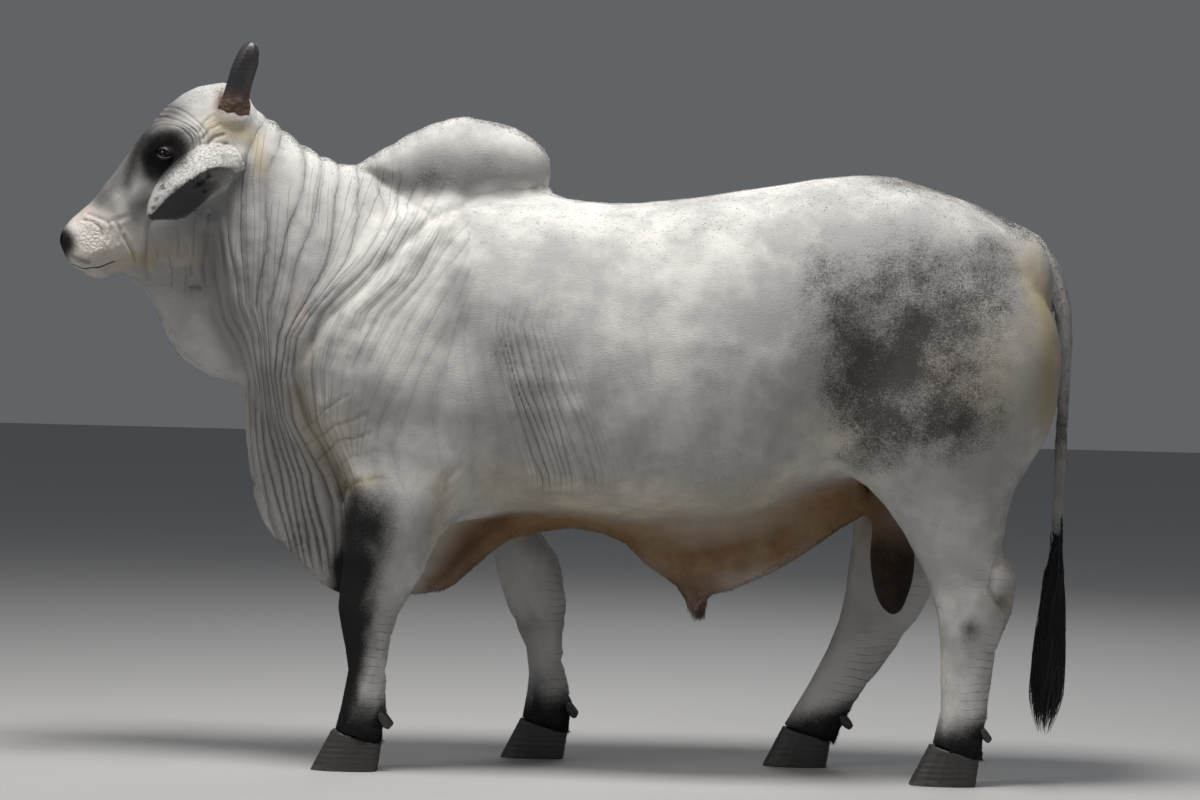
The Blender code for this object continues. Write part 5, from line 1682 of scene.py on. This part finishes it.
@dataclass(frozen=True)
class StudioFloor:
    """A plain pale floor."""

    colour: tuple = (0.42, 0.415, 0.41)

    def material(self) -> bpy.types.Material:
        """The finish as a material."""
        s = Shader("studio_floor", 0.7)
        return s.finish(s.scaled(self.colour, 0.97 + 0.06 * s.noise(0.7, 3.0)))


# Eyes, horns and hoofs


@dataclass
class Eyes:
    """The eyeballs and the rims of their lids."""

    lid_width: float = 0.0070
    lid_rise: float = 0.0036

    def ball(self, label: str, finish: Eyeball) -> bpy.types.Object:
        """One eyeball with its clear front raised a little.

        Args:
            label: The side it is on.
            finish: Its finish.

        Returns:
            The eyeball's object.
        """
        centre = Face.eye_centre(label)
        look, along, up = Face.eye_frame(label)
        radius = Face.EYE_RADIUS - 0.0002
        bpy.ops.mesh.primitive_uv_sphere_add(segments=56, ring_count=36, radius=radius, location=centre)
        thing = bpy.context.object
        only(thing)
        bpy.ops.object.transform_apply(location=True, rotation=True, scale=True)
        thing.name = thing.data.name = f"eyeball_{label}"
        points = points_of(thing)
        away = points - np.array(centre)
        forward = away @ np.array(look)
        off = np.linalg.norm(away - forward[:, None] * np.array(look), axis=1) / Face.EYE_RADIUS
        off = np.where(forward > 0, off, 2.0)
        bulge = 0.0012 * step(0.72, 0.0, off)
        move_points(thing, points + units(away) * bulge[:, None])
        wide, high = away @ np.array(along) / 0.0115, away @ np.array(up) / 0.0055
        attribute(thing, "off_axis", off)
        attribute(thing, "pupil", np.where(forward > 0, np.hypot(wide, high), 3.0))
        return dress(thing, finish.material())

    def lid(self, label: str, finish: DampSkin) -> bpy.types.Object:
        """The rolled rim of the lids round the eye opening.

        Args:
            label: The side it is on.
            finish: Its finish.

        Returns:
            The rim's object.
        """
        centre = Face.eye_centre(label)
        look, along, up = Face.eye_frame(label)
        bpy.ops.mesh.primitive_torus_add(
            major_segments=56, minor_segments=12, major_radius=1.0, minor_radius=0.25, location=(0, 0, 0)
        )
        thing = bpy.context.object
        thing.name = thing.data.name = f"lids_{label}"
        for vert in thing.data.vertices:
            angle = math.atan2(vert.co.y, vert.co.x)
            out = (math.hypot(vert.co.x, vert.co.y) - 1.0) / 0.25
            rise = vert.co.z / 0.25
            across, high = Face.almond(angle)
            length = math.hypot(across, high)
            grow = 1 + (0.45 + 0.75 * out) * self.lid_width / length
            if high > 0:
                rise *= 1.35
            across, high = across * grow, high * grow
            reach = math.sqrt(max((Face.EYE_RADIUS + 0.0010) ** 2 - across**2 - high**2, 0.0))
            sunk = 0.0045 * max(out, 0) ** 2
            vert.co = centre + look * (reach + self.lid_rise * rise - sunk) + along * across + up * high
        face_outward(thing)
        modify(thing, "SUBSURF", levels=1, render_levels=1)
        return dress(thing, finish.material())

    def build(self) -> list[bpy.types.Object]:
        """Makes both eyes."""
        ball_finish, lid_finish = Eyeball(), DampSkin()
        made = []
        for label in SIDES:
            ball = self.ball(label, ball_finish)
            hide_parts(f"eye_{label}")
            lid = self.lid(label, lid_finish)
            made += [ball, lid]
        return made


@dataclass
class Refined:
    """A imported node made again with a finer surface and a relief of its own."""

    node: str
    name: str
    slot: str
    voxel: float = 0.0022
    rounds: int = 10
    limit: int = 16000
    blunt: int = 0

    def build(self, material: bpy.types.Material,
              relief: Optional[Callable[[Array], Array]] = None) -> bpy.types.Object:
        """Makes the finer piece.

        Args:
            material: The material it takes.
            relief: Gives the height of its surface at points.

        Returns:
            The piece's object.
        """
        thing = node_copy(self.node)
        thing.name = thing.data.name = self.name
        modify(thing, "REMESH", mode="VOXEL", voxel_size=self.voxel)
        points, edges = points_of(thing), edges_of(thing)
        level = points[:, 2].min()
        weight = step(level + 0.0005, level + 0.004, points[:, 2]) if level < 0.01 else np.ones(len(points))
        points = relaxed(points, edges, self.rounds, weight)
        if self.blunt:
            first, middle = np.ptp(points, axis=0), points.mean(axis=0)
            points = relaxed(points, edges, self.blunt, weight, 0.0)
            if level >= 0.01:
                points = middle + (points - middle) * (0.5 + 0.5 * first / np.ptp(points, axis=0))
        move_points(thing, points)
        if relief:
            points, normals = points_of(thing), normals_of(thing)
            moved = points + normals * (relief(points) * (weight if level < 0.01 else 1.0))[:, None]
            move_points(thing, moved)
        faces = len(thing.data.polygons) * 2
        if faces > self.limit:
            modify(thing, "DECIMATE", ratio=self.limit / faces)
        dress(thing, material)
        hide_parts(self.node)
        return thing


@dataclass
class Horns:
    """The short, blunt horns."""

    ring_depth: float = 0.0003
    root_height: float = 1.550
    tip_height: float = 1.612

    def relief(self, points: Array) -> Array:
        """Rings low on the horn, and flaking at its root."""
        z = points[:, 2] + 0.003 * lattice_noise(points * 25, 81)
        low = step(self.tip_height + 0.03, self.root_height, z)
        rings = self.ring_depth * np.sin(z * 620) * low
        flakes = 0.0030 * fractal(points * 70, 3, 82) * step(self.tip_height - 0.010, self.root_height, z)
        return rings + flakes + 0.0022 * step(1.60, 1.66, z) + 0.0030 * step(1.585, 1.560, z)

    def build(self) -> list[bpy.types.Object]:
        """Makes both horns."""
        dark, root = (0.030, 0.028, 0.031), (0.115, 0.062, 0.036)
        finish = Keratin("horn", dark, root, self.root_height, self.tip_height, 620.0, 0.38)
        material = finish.material()
        return [
            Refined(f"horn_{label}", f"horn_shell_{label}", "horn", 0.0020, 40).build(material, self.relief)
            for label in SIDES
        ]


@dataclass
class Hoofs:
    """Claws and dewclaws on all four feet."""

    ring_depth: float = 0.00025

    def relief(self, points: Array) -> Array:
        """Rings of growth that run round the claw, and small chips at its edge."""
        edge = step(0.022, 0.004, points[:, 2])
        rings = self.ring_depth * np.sin((points[:, 2] + 0.006 * lattice_noise(points * 22, 91)) * 430)
        return rings + 0.0005 * fractal(points * 90, 2, 92) * (0.5 + edge)

    def build(self) -> list[bpy.types.Object]:
        """Makes every claw."""
        finish = Keratin("hoof", (0.030, 0.028, 0.027), (0.060, 0.050, 0.042), 0.0, 0.012, 520.0, 0.5)
        material = finish.material()
        made = []
        for foot in FEET:
            for label in ("inner", "outer"):
                place = f"{foot}_{label}"
                claw = Refined(f"claw_{place}", f"hoof_{place}", "hoof", 0.0026, 26, blunt=4)
                spur = Refined(f"dewclaw_{place}", f"spur_{place}", "hoof", 0.0019, 30, blunt=110)
                made += [claw.build(material, self.relief), spur.build(material)]
        return made


# The coat


class SkinChart:
    """An unwrap of the skin's own shape, read at the roots of tufts."""

    def __init__(self, hide: bpy.types.Object, faces: int = 7000) -> None:
        """Unwraps a light copy of the skin.

        Args:
            hide: The skin.
            faces: How many faces the copy keeps.
        """
        copy = placed("chart", hide.data.copy())
        modify(copy, "DECIMATE", ratio=faces / len(copy.data.polygons))
        only(copy)
        bpy.ops.object.mode_set(mode="EDIT")
        bpy.ops.mesh.select_all(action="SELECT")
        bpy.ops.uv.smart_project(angle_limit=math.radians(66), island_margin=0.004)
        bpy.ops.object.mode_set(mode="OBJECT")
        mesh = copy.data
        self.corners = np.empty(len(mesh.loops), np.int32)
        mesh.loops.foreach_get("vertex_index", self.corners)
        flat = np.empty(len(mesh.loops) * 2, np.float32)
        mesh.uv_layers.active.data.foreach_get("uv", flat)
        self.uv = flat.reshape(-1, 3, 2).astype(float)
        self.corners = self.corners.reshape(-1, 3)
        self.points = points_of(copy)
        self.tree = BVHTree.FromPolygons(self.points.tolist(), self.corners.tolist())
        bpy.data.objects.remove(copy)

    def read(self, places: Array) -> Array:
        """The unwrap's coordinates at places near the skin."""
        made = np.zeros((len(places), 2))
        for k, place in enumerate(places):
            near, _, face, _ = self.tree.find_nearest(place)
            a, b, c = self.points[self.corners[face]]
            first, second, off = b - a, c - a, np.array(near) - a
            d00, d01, d11 = first @ first, first @ second, second @ second
            d20, d21 = off @ first, off @ second
            scale = max(d00 * d11 - d01 * d01, 1e-15)
            v, w = (d11 * d20 - d01 * d21) / scale, (d00 * d21 - d01 * d20) / scale
            made[k] = self.uv[face].T @ np.clip((1 - v - w, v, w), 0, 1)
        return made


@dataclass
class Tufts:
    """Short flat tufts of fur over part of the skin, all in one mesh."""

    name: str
    count: int
    length: float
    width: float
    lift: float
    where: Callable[["Places", Array], Array]
    seed: int = 1
    spread: float = 0.35
    droop: float = 0.05

    def build(self, surface: "SkinSurface", chart: SkinChart,
              material: bpy.types.Material) -> bpy.types.Object:
        """Makes the tufts.

        Args:
            surface: The skin to root them on.
            chart: The skin's unwrap.
            material: The coat's material.

        Returns:
            The object of all the tufts.
        """
        rng = np.random.default_rng(self.seed)
        roots, normals, share = surface.scatter(self.count, self.where, rng)
        lie = surface.lie(roots, normals)
        aside = np.cross(normals, lie)
        lie = units(lie + aside * rng.normal(0, self.spread, len(roots))[:, None])
        aside = units(np.cross(normals, lie))
        length = self.length * rng.uniform(0.65, 1.25, len(roots)) * (0.6 + 0.4 * share)
        width = self.width * rng.uniform(0.7, 1.2, len(roots))
        lift = self.lift * rng.uniform(0.4, 1.5, len(roots))
        forward = units(lie + normals * lift[:, None])
        thick = width * 0.20
        base = roots - normals * 0.0016 + forward * 0.0004
        middle = roots + forward * (length * 0.5)[:, None]
        tip = roots + forward * length[:, None] - normals * (length * lift * 0.35)[:, None]
        tip[:, 2] -= self.droop * length
        rows = []
        for centre, size in ((base, 0.9), (middle, 0.8)):
            rows.append(centre + aside * (width * size * 0.5)[:, None])
            rows.append(centre - aside * (width * size * 0.5)[:, None])
            rows.append(centre + normals * (thick * size)[:, None])
        rows.append(tip)
        points = np.stack(rows, axis=1)
        root_cap = [(0, 1, 2)]
        sides = [(0, 4, 1), (0, 3, 4), (1, 5, 2), (1, 4, 5), (2, 3, 0), (2, 5, 3)]
        end = [(3, 6, 4), (4, 6, 5), (5, 6, 3)]
        pattern = np.array(root_cap + sides + end)
        faces = (pattern[None] + 7 * np.arange(len(roots))[:, None, None]).reshape(-1, 3)
        thing = mesh_object(self.name, points.reshape(-1, 3), faces)
        face_outward(thing)
        patch = np.array([(-1, -1), (1, -1), (0, -0.6), (-0.8, 0.2), (0.8, 0.2), (0, 0.4), (0, 1)]) * PATCH
        centres = chart.read(roots)
        uv = (centres[:, None] + patch[None]).reshape(-1, 2)
        self.lay_out(thing, np.clip(uv, 0.0, 1.0))
        for name, values in Markings.paint(roots, normals).items():
            attribute(thing, name, np.repeat(values, 7, axis=0))
        return dress(thing, material)

    @staticmethod
    def lay_out(thing: bpy.types.Object, uv: Array) -> None:
        """Gives a mesh object its map for baking, from a coordinate for each point."""
        layer = thing.data.uv_layers.new(name="OFBake")
        corners = np.empty(len(thing.data.loops), np.int32)
        thing.data.loops.foreach_get("vertex_index", corners)
        layer.data.foreach_set("uv", uv[corners].astype(np.float32).ravel())


class SkinSurface:
    """The finished skin, as places to root tufts on."""

    def __init__(self, hide: bpy.types.Object) -> None:
        """Reads the skin's triangles."""
        self.points = points_of(hide)
        faces = np.empty(len(hide.data.loops), np.int32)
        hide.data.loops.foreach_get("vertex_index", faces)
        self.faces = faces.reshape(-1, 3)
        a, b, c = (self.points[self.faces[:, k]] for k in range(3))
        cross = np.cross(b - a, c - a)
        self.area = np.linalg.norm(cross, axis=1) / 2
        self.normals = units(cross)
        self.places = Places((a + b + c) / 3)

    def scatter(self, count: int, where: Callable[[Places, Array], Array],
                rng: np.random.Generator) -> tuple[Array, Array, Array]:
        """Draws places on the skin.

        Args:
            count: How many.
            where: How dense they are at given places with given normals.
            rng: The seeded generator.

        Returns:
            The places, the skin's normals there and the density there.
        """
        density = np.clip(where(self.places, self.normals), 0, None)
        chance = self.area * density
        index = rng.choice(len(chance), count, p=chance / chance.sum())
        u, v = rng.random(count), rng.random(count)
        flip = u + v > 1
        u, v = np.where(flip, 1 - u, u), np.where(flip, 1 - v, v)
        a, b, c = (self.points[self.faces[index, k]] for k in range(3))
        places = a + (b - a) * u[:, None] + (c - a) * v[:, None]
        return places, self.normals[index], np.clip(density[index], 0, 1)

    @staticmethod
    def lie(points: Array, normals: Array) -> Array:
        """The way the coat lies at points."""
        x, z = points[:, 0], points[:, 2]
        flow = np.tile(np.array((0.85, 0.0, -0.50)), (len(points), 1))
        legs = step(0.72, 0.60, z)[:, None]
        flow = flow * (1 - legs) + np.array((0.05, 0.0, -1.0)) * legs
        head = (step(-0.76, -0.82, x) * step(1.10, 1.18, z))[:, None]
        flow = flow * (1 - head) + np.array((0.62, 0.0, 0.10)) * head
        tail = (step(1.06, 1.12, x) * (np.abs(points[:, 1]) < 0.06))[:, None]
        flow = flow * (1 - tail) + np.array((0.0, 0.0, -1.0)) * tail
        hump = (step(1.38, 1.44, z) * step(-0.62, -0.55, x) * step(0.05, 0.0, x))[:, None]
        flow = flow * (1 - hump) + np.array((0.9, 0.0, -0.25)) * hump
        return units(flow - normals * np.sum(flow * normals, axis=1)[:, None] + 1e-6)


class Fur:
    """All the pieces of short fur, each for one region."""

    @staticmethod
    def haired(places: Places) -> Array:
        """Where fur grows: not on the nose pad, lips, lids and scrotum."""
        nose = Blot(63, 243, 14, 17, 15).cover(places)
        sac = (places.points[:, 2] < 0.66) * (from_sac(places.points) < 0.09)
        eye = np.zeros(len(places.points))
        for label in SIDES:
            distance = np.linalg.norm(places.points - np.array(Face.eye_centre(label)), axis=1)
            eye = np.maximum(eye, step(0.034, 0.026, distance))
        return np.clip(1 - nose - sac - eye, 0, 1)

    @staticmethod
    def ears(places: Places, normals: Array) -> Array:
        """The rims and outer faces of the ears."""
        return near_ears(places.points, 0.005) * (1.0 - 0.75 * Markings.ear_inside(places, normals))

    @staticmethod
    def canal(places: Places, normals: Array) -> Array:
        """The hollow at the root of each ear."""
        return Blot(212, 176, 12, 8, 30).cover(places) * Markings.ear_inside(places, normals)

    @classmethod
    def face(cls, places: Places, normals: Array) -> Array:
        """The poll, the forehead, the bridge of the nose and the jaw."""
        muzzle = Blot(92, 236, 34, 34).cover(places)
        edge = step(0.085, 0.045, np.abs(places.straight[:, 1]))
        return places.head * (0.30 + edge) * (1 - 0.75 * muzzle) * cls.haired(places)

    @staticmethod
    def crest(places: Places, normals: Array) -> Array:
        """The line of the back, and the crests of the neck and hump."""
        x, z = places.points[:, 0], places.points[:, 2]
        body = step(-0.78, -0.72, x) * (1 - places.head) * (z > 1.0)
        return body * step(0.055, 0.020, np.abs(places.points[:, 1])) * step(0.3, 0.7, normals[:, 2])

    @staticmethod
    def flanks(places: Places, normals: Array) -> Array:
        """The rounds of the hump, the rump and the shoulders, thinly."""
        z = places.points[:, 2]
        return step(0.85, 1.0, z) * (1 - places.head) * step(0.35, 0.80, normals[:, 2])

    @classmethod
    def lower(cls, places: Places, normals: Array) -> Array:
        """The edges of the brisket, the throat and the sheath, and the line of the belly."""
        points = places.points
        low = step(1.15, 1.05, points[:, 2]) * step(0.34, 0.40, points[:, 2]) * (points[:, 0] < 1.05)
        middle = step(0.065, 0.025, np.abs(points[:, 1]))
        edge = np.clip(step(0.2, 0.8, -normals[:, 2]) + step(0.3, 0.8, -normals[:, 0]), 0, 1)
        return low * edge * (0.12 + middle) * cls.haired(places) * (1 - places.head)

    @staticmethod
    def legs(places: Places, normals: Array) -> Array:
        """The backs of the thighs, forearms and cannons."""
        x, y, z = places.points.T
        leg = step(0.92, 0.80, z) * step(0.085, 0.110, z) * (x < 1.09) * step(0.09, 0.12, np.abs(y))
        edge = np.clip(step(0.4, 0.9, normals[:, 0]) + 0.5 * step(0.5, 0.95, -normals[:, 0]), 0, 1)
        return leg * (0.06 + edge)

    @staticmethod
    def fringe(places: Places, normals: Array) -> Array:
        """The hair that hangs over the hoofs, and behind the fetlocks."""
        x, y, z = places.points.T
        coronet = step(0.050, 0.062, z) * step(0.105, 0.088, z)
        fetlock = 0.8 * step(0.5, 0.9, behind_leg(places.points)) * step(0.10, 0.13, z) * step(0.19, 0.16, z)
        return np.clip(coronet + fetlock, 0, 1) * (x < 1.09) * (np.abs(y) > 0.09)

    @staticmethod
    def tail(places: Places, normals: Array) -> Array:
        """The tail, thicker towards its switch."""
        x, y, z = places.points.T
        return step(1.08, 1.13, x) * (np.abs(y) < 0.036) * (0.35 + 1.6 * step(1.0, 0.6, z))

    @staticmethod
    def sheath(places: Places, normals: Array) -> Array:
        """The opening of the sheath."""
        x, y, z = places.points.T
        return step(0.425, 0.385, z) * (np.hypot(x - SHEATH_AXIS, y) < 0.06)

    @classmethod
    def regions(cls) -> list[Tufts]:
        """The tufts of every region."""
        return [
            Tufts("fur_ears", 9000, 0.0070, 0.0012, 0.25, cls.ears, 3, 0.25),
            Tufts("fur_canal", 420, 0.0170, 0.0013, 0.70, cls.canal, 10, 0.45),
            Tufts("fur_face", 17000, 0.0056, 0.0011, 0.16, cls.face, 4, 0.25),
            Tufts("fur_crest", 17000, 0.0090, 0.0015, 0.20, cls.crest, 5, 0.28),
            Tufts("fur_flanks", 9000, 0.0080, 0.0013, 0.10, cls.flanks, 15, 0.22),
            Tufts("fur_lower", 17000, 0.0085, 0.0015, 0.22, cls.lower, 6, 0.30),
            Tufts("fur_legs", 15000, 0.0085, 0.0014, 0.20, cls.legs, 7, 0.25),
            Tufts("fur_fringe", 9000, 0.0120, 0.0014, 0.16, cls.fringe, 11, 0.25, 0.25),
            Tufts("fur_tail", 7000, 0.0120, 0.0014, 0.24, cls.tail, 8, 0.22),
            Tufts("fur_sheath", 420, 0.0260, 0.0016, 0.20, cls.sheath, 9, 0.25),
        ]


@dataclass
class Switch:
    """The black switch of the tail: flat locks and loose strands round a short core."""

    top: float = 0.655
    bend: float = 0.590
    foot: float = 0.104
    locks: int = 210
    strands: int = 1500
    seed: int = 12

    def spread(self, height: Array) -> Array:
        """How far the switch reaches from its middle at a height."""
        fall = (self.bend - height) / (self.bend - self.foot)
        full = np.clip(fall / 0.80, 0, 1)
        return 0.012 + 0.030 * np.sin(full * np.pi / 2) - 0.024 * np.clip(fall - 0.80, 0, 1) / 0.20

    def middle(self, height: Array) -> Array:
        """The middle line of the hanging switch."""
        fall = (self.bend - height) / (self.bend - self.foot)
        return np.stack((1.186 - 0.022 * fall, np.zeros_like(height), height), axis=-1)

    def hair(self, count: int, width: float, thick: float, rings: int, rng: np.random.Generator,
             full: float) -> tuple[Array, Array, Array, Array]:
        """Points and faces of hanging locks or strands.

        Args:
            count: How many.
            width: Their half width.
            thick: Their half thickness.
            rings: How many rings of four points each has.
            rng: The seeded generator.
            full: How far out they hang, as a share of the switch's spread.

        Returns:
            The points, the faces, the roots and how far down its lock each point is.
        """
        tier = rng.random(count) ** 0.8
        root = self.top - 0.005 - 0.275 * tier
        reach = full * (0.25 + 0.75 * rng.random(count) ** 0.5)
        length = rng.uniform(0.20, 0.30, count) + tier * 0.10
        length = np.minimum(length, root - self.foot - 0.150 * rng.random(count) ** 1.1)
        angle = rng.uniform(0, 2 * np.pi, count)
        sway = rng.normal(0, 0.50, count)
        wave = rng.normal(0, 0.0064, count)
        rows, along = [], []
        for j in range(rings):
            s = j / rings
            height = root - length * s
            out = self.spread(height) * reach * np.sin(np.minimum(0.10 + s * 1.6, 1.0) * np.pi / 2)
            turn = angle + sway * s * s
            away = np.stack((np.cos(turn), np.sin(turn), np.zeros(count)), axis=1)
            across = np.stack((-away[:, 1], away[:, 0], np.zeros(count)), axis=1)
            weaving = wave * np.sin(s * 7 + angle)
            centre = self.middle(height) + away * out[:, None] + across * weaving[:, None]
            half = width * (0.18 + 2.3 * s - 2.3 * s * s)
            depth = thick * (1 - 0.6 * s)
            rows += [centre + across * half, centre + away * depth]
            rows += [centre - across * half, centre - away * depth]
            along += [np.full(count, s)] * 4
        turn = angle + sway * 1.1
        foot = root - length
        away = np.stack((np.cos(turn), np.sin(turn), np.zeros(count)), axis=1)
        rows.append(self.middle(foot) + away * (self.spread(foot) * reach * 0.85)[:, None])
        along.append(np.ones(count))
        faces = []
        for j in range(rings - 1):
            for n in range(4):
                a, b = 4 * j + n, 4 * j + (n + 1) % 4
                faces += [(a, b, b + 4), (a, b + 4, a + 4)]
        last = 4 * (rings - 1)
        faces += [(last + n, last + (n + 1) % 4, last + 4) for n in range(4)]
        faces += [(0, 2, 1), (0, 3, 2)]
        size = 4 * rings + 1
        points = np.stack(rows, axis=1)
        all_faces = (np.array(faces)[None] + size * np.arange(count)[:, None, None]).reshape(-1, 3)
        roots = points[:, :4].mean(axis=1)
        return points.reshape(-1, 3), all_faces, roots, np.stack(along, axis=1).ravel()

    def build(self, chart: SkinChart, material: bpy.types.Material) -> list[bpy.types.Object]:
        """Makes the locks and the strands.

        Args:
            chart: The skin's unwrap.
            material: The hair's material.

        Returns:
            Both objects.
        """
        rng = np.random.default_rng(self.seed)
        made = []
        for name, count, width, thick, rings, full in (
            ("switch_locks", self.locks, 0.0052, 0.0020, 8, 0.94),
            ("switch_strands", self.strands, 0.0011, 0.0007, 8, 1.0),
        ):
            points, faces, roots, along = self.hair(count, width, thick, rings, rng, full)
            thing = mesh_object(name, points, faces)
            face_outward(thing)
            size = 4 * rings + 1
            corner = np.tile(np.array([(-1, 0), (0, 0.4), (1, 0), (0, -0.4)]), (rings, 1))
            corner = np.concatenate((corner, [(0, 0)]))
            drop = along.reshape(-1, size)[0] * 2 - 1
            patch = np.stack((corner[:, 0], drop), axis=1) * PATCH
            uv = (chart.read(roots)[:, None] + patch[None]).reshape(-1, 2)
            Tufts.lay_out(thing, np.clip(uv, 0, 1))
            attribute(thing, "along", along)
            dress(thing, material)
            made.append(thing)
        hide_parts("tail_switch")
        return made


# The studio


@dataclass(frozen=True)
class Studio:
    """The floor, the soft lights and the camera."""

    floor_size: float = 80.0

    def floor(self) -> bpy.types.Object:
        """A wide floor."""
        bpy.ops.object.select_all(action="DESELECT")
        bpy.ops.mesh.primitive_plane_add(size=self.floor_size, location=(0, 0, -0.0004))
        thing = bpy.context.object
        thing.name = thing.data.name = "studio_floor"
        bpy.ops.object.transform_apply(location=True, rotation=True, scale=True)
        thing.data.materials.append(StudioFloor().material())
        return thing

    def lamp(self, name: str, place: tuple, size: float, power: float, tint: tuple) -> None:
        """One soft light that points at the bull's middle.

        Args:
            name: The lamp's name.
            place: Where it hangs.
            size: Its side in metres.
            power: Its power in watts.
            tint: Its colour.
        """
        lamp = bpy.data.lights.new(name, "AREA")
        lamp.size = size
        lamp.energy = power
        lamp.color = tint
        thing = placed(name, lamp)
        thing.location = place
        thing.rotation_euler = (Vector((0, 0, 0.8)) - Vector(place)).to_track_quat("-Z", "Y").to_euler()

    def build(self) -> None:
        """Makes the studio."""
        self.floor()
        self.lamp("overhead", (-0.3, -1.1, 5.2), 1.6, 290.0, (1.0, 0.985, 0.96))
        self.lamp("key", (-4.6, -3.6, 4.6), 1.8, 80.0, (1.0, 0.98, 0.95))
        self.lamp("fill", (4.2, -5.6, 2.4), 3.5, 17.0, (0.93, 0.96, 1.0))
        self.lamp("back", (1.5, 5.0, 4.6), 3.0, 70.0, (0.95, 0.97, 1.0))
        world = bpy.data.worlds.new("studio")
        bpy.context.scene.world = world
        world.use_nodes = True
        sky = world.node_tree.nodes["Background"]
        sky.inputs[0].default_value = (0.80, 0.84, 0.90, 1)
        sky.inputs[1].default_value = 0.15
        camera = bpy.data.cameras.new("camera")
        camera.sensor_width = 36.0
        camera.lens = Places.DRAWN_FROM * 36.0 / (GRID * 1200)
        thing = placed("camera", camera)
        eye, turn = drawing_station()
        thing.matrix_world = Matrix.Translation(eye) @ turn.to_4x4()
        bpy.context.scene.camera = thing
        bpy.context.scene.view_settings.view_transform = "Standard"


def main() -> None:
    """Builds the bull's dressed pieces in order and reports each."""
    logging.basicConfig(level=logging.INFO, format="%(relativeCreated)d ms %(message)s")
    Studio().build()
    hide = Hide().build(Coat())
    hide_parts(*FLESH)
    pieces = [hide]
    pieces += Eyes().build()
    pieces += Horns().build()
    pieces += Hoofs().build()
    surface, chart = SkinSurface(hide), SkinChart(hide)
    LOG.info("skin chart ready")
    fur = Coat(fur=True).material()
    for tufts in Fur.regions():
        thing = tufts.build(surface, chart, fur)
        pieces.append(thing)
    pieces += Switch().build(chart, Hair().material())
    for piece in pieces:
        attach(piece, "root")
        LOG.info("%s: %d faces", piece.name, len(piece.data.polygons))


if __name__ == "__main__":
    main()
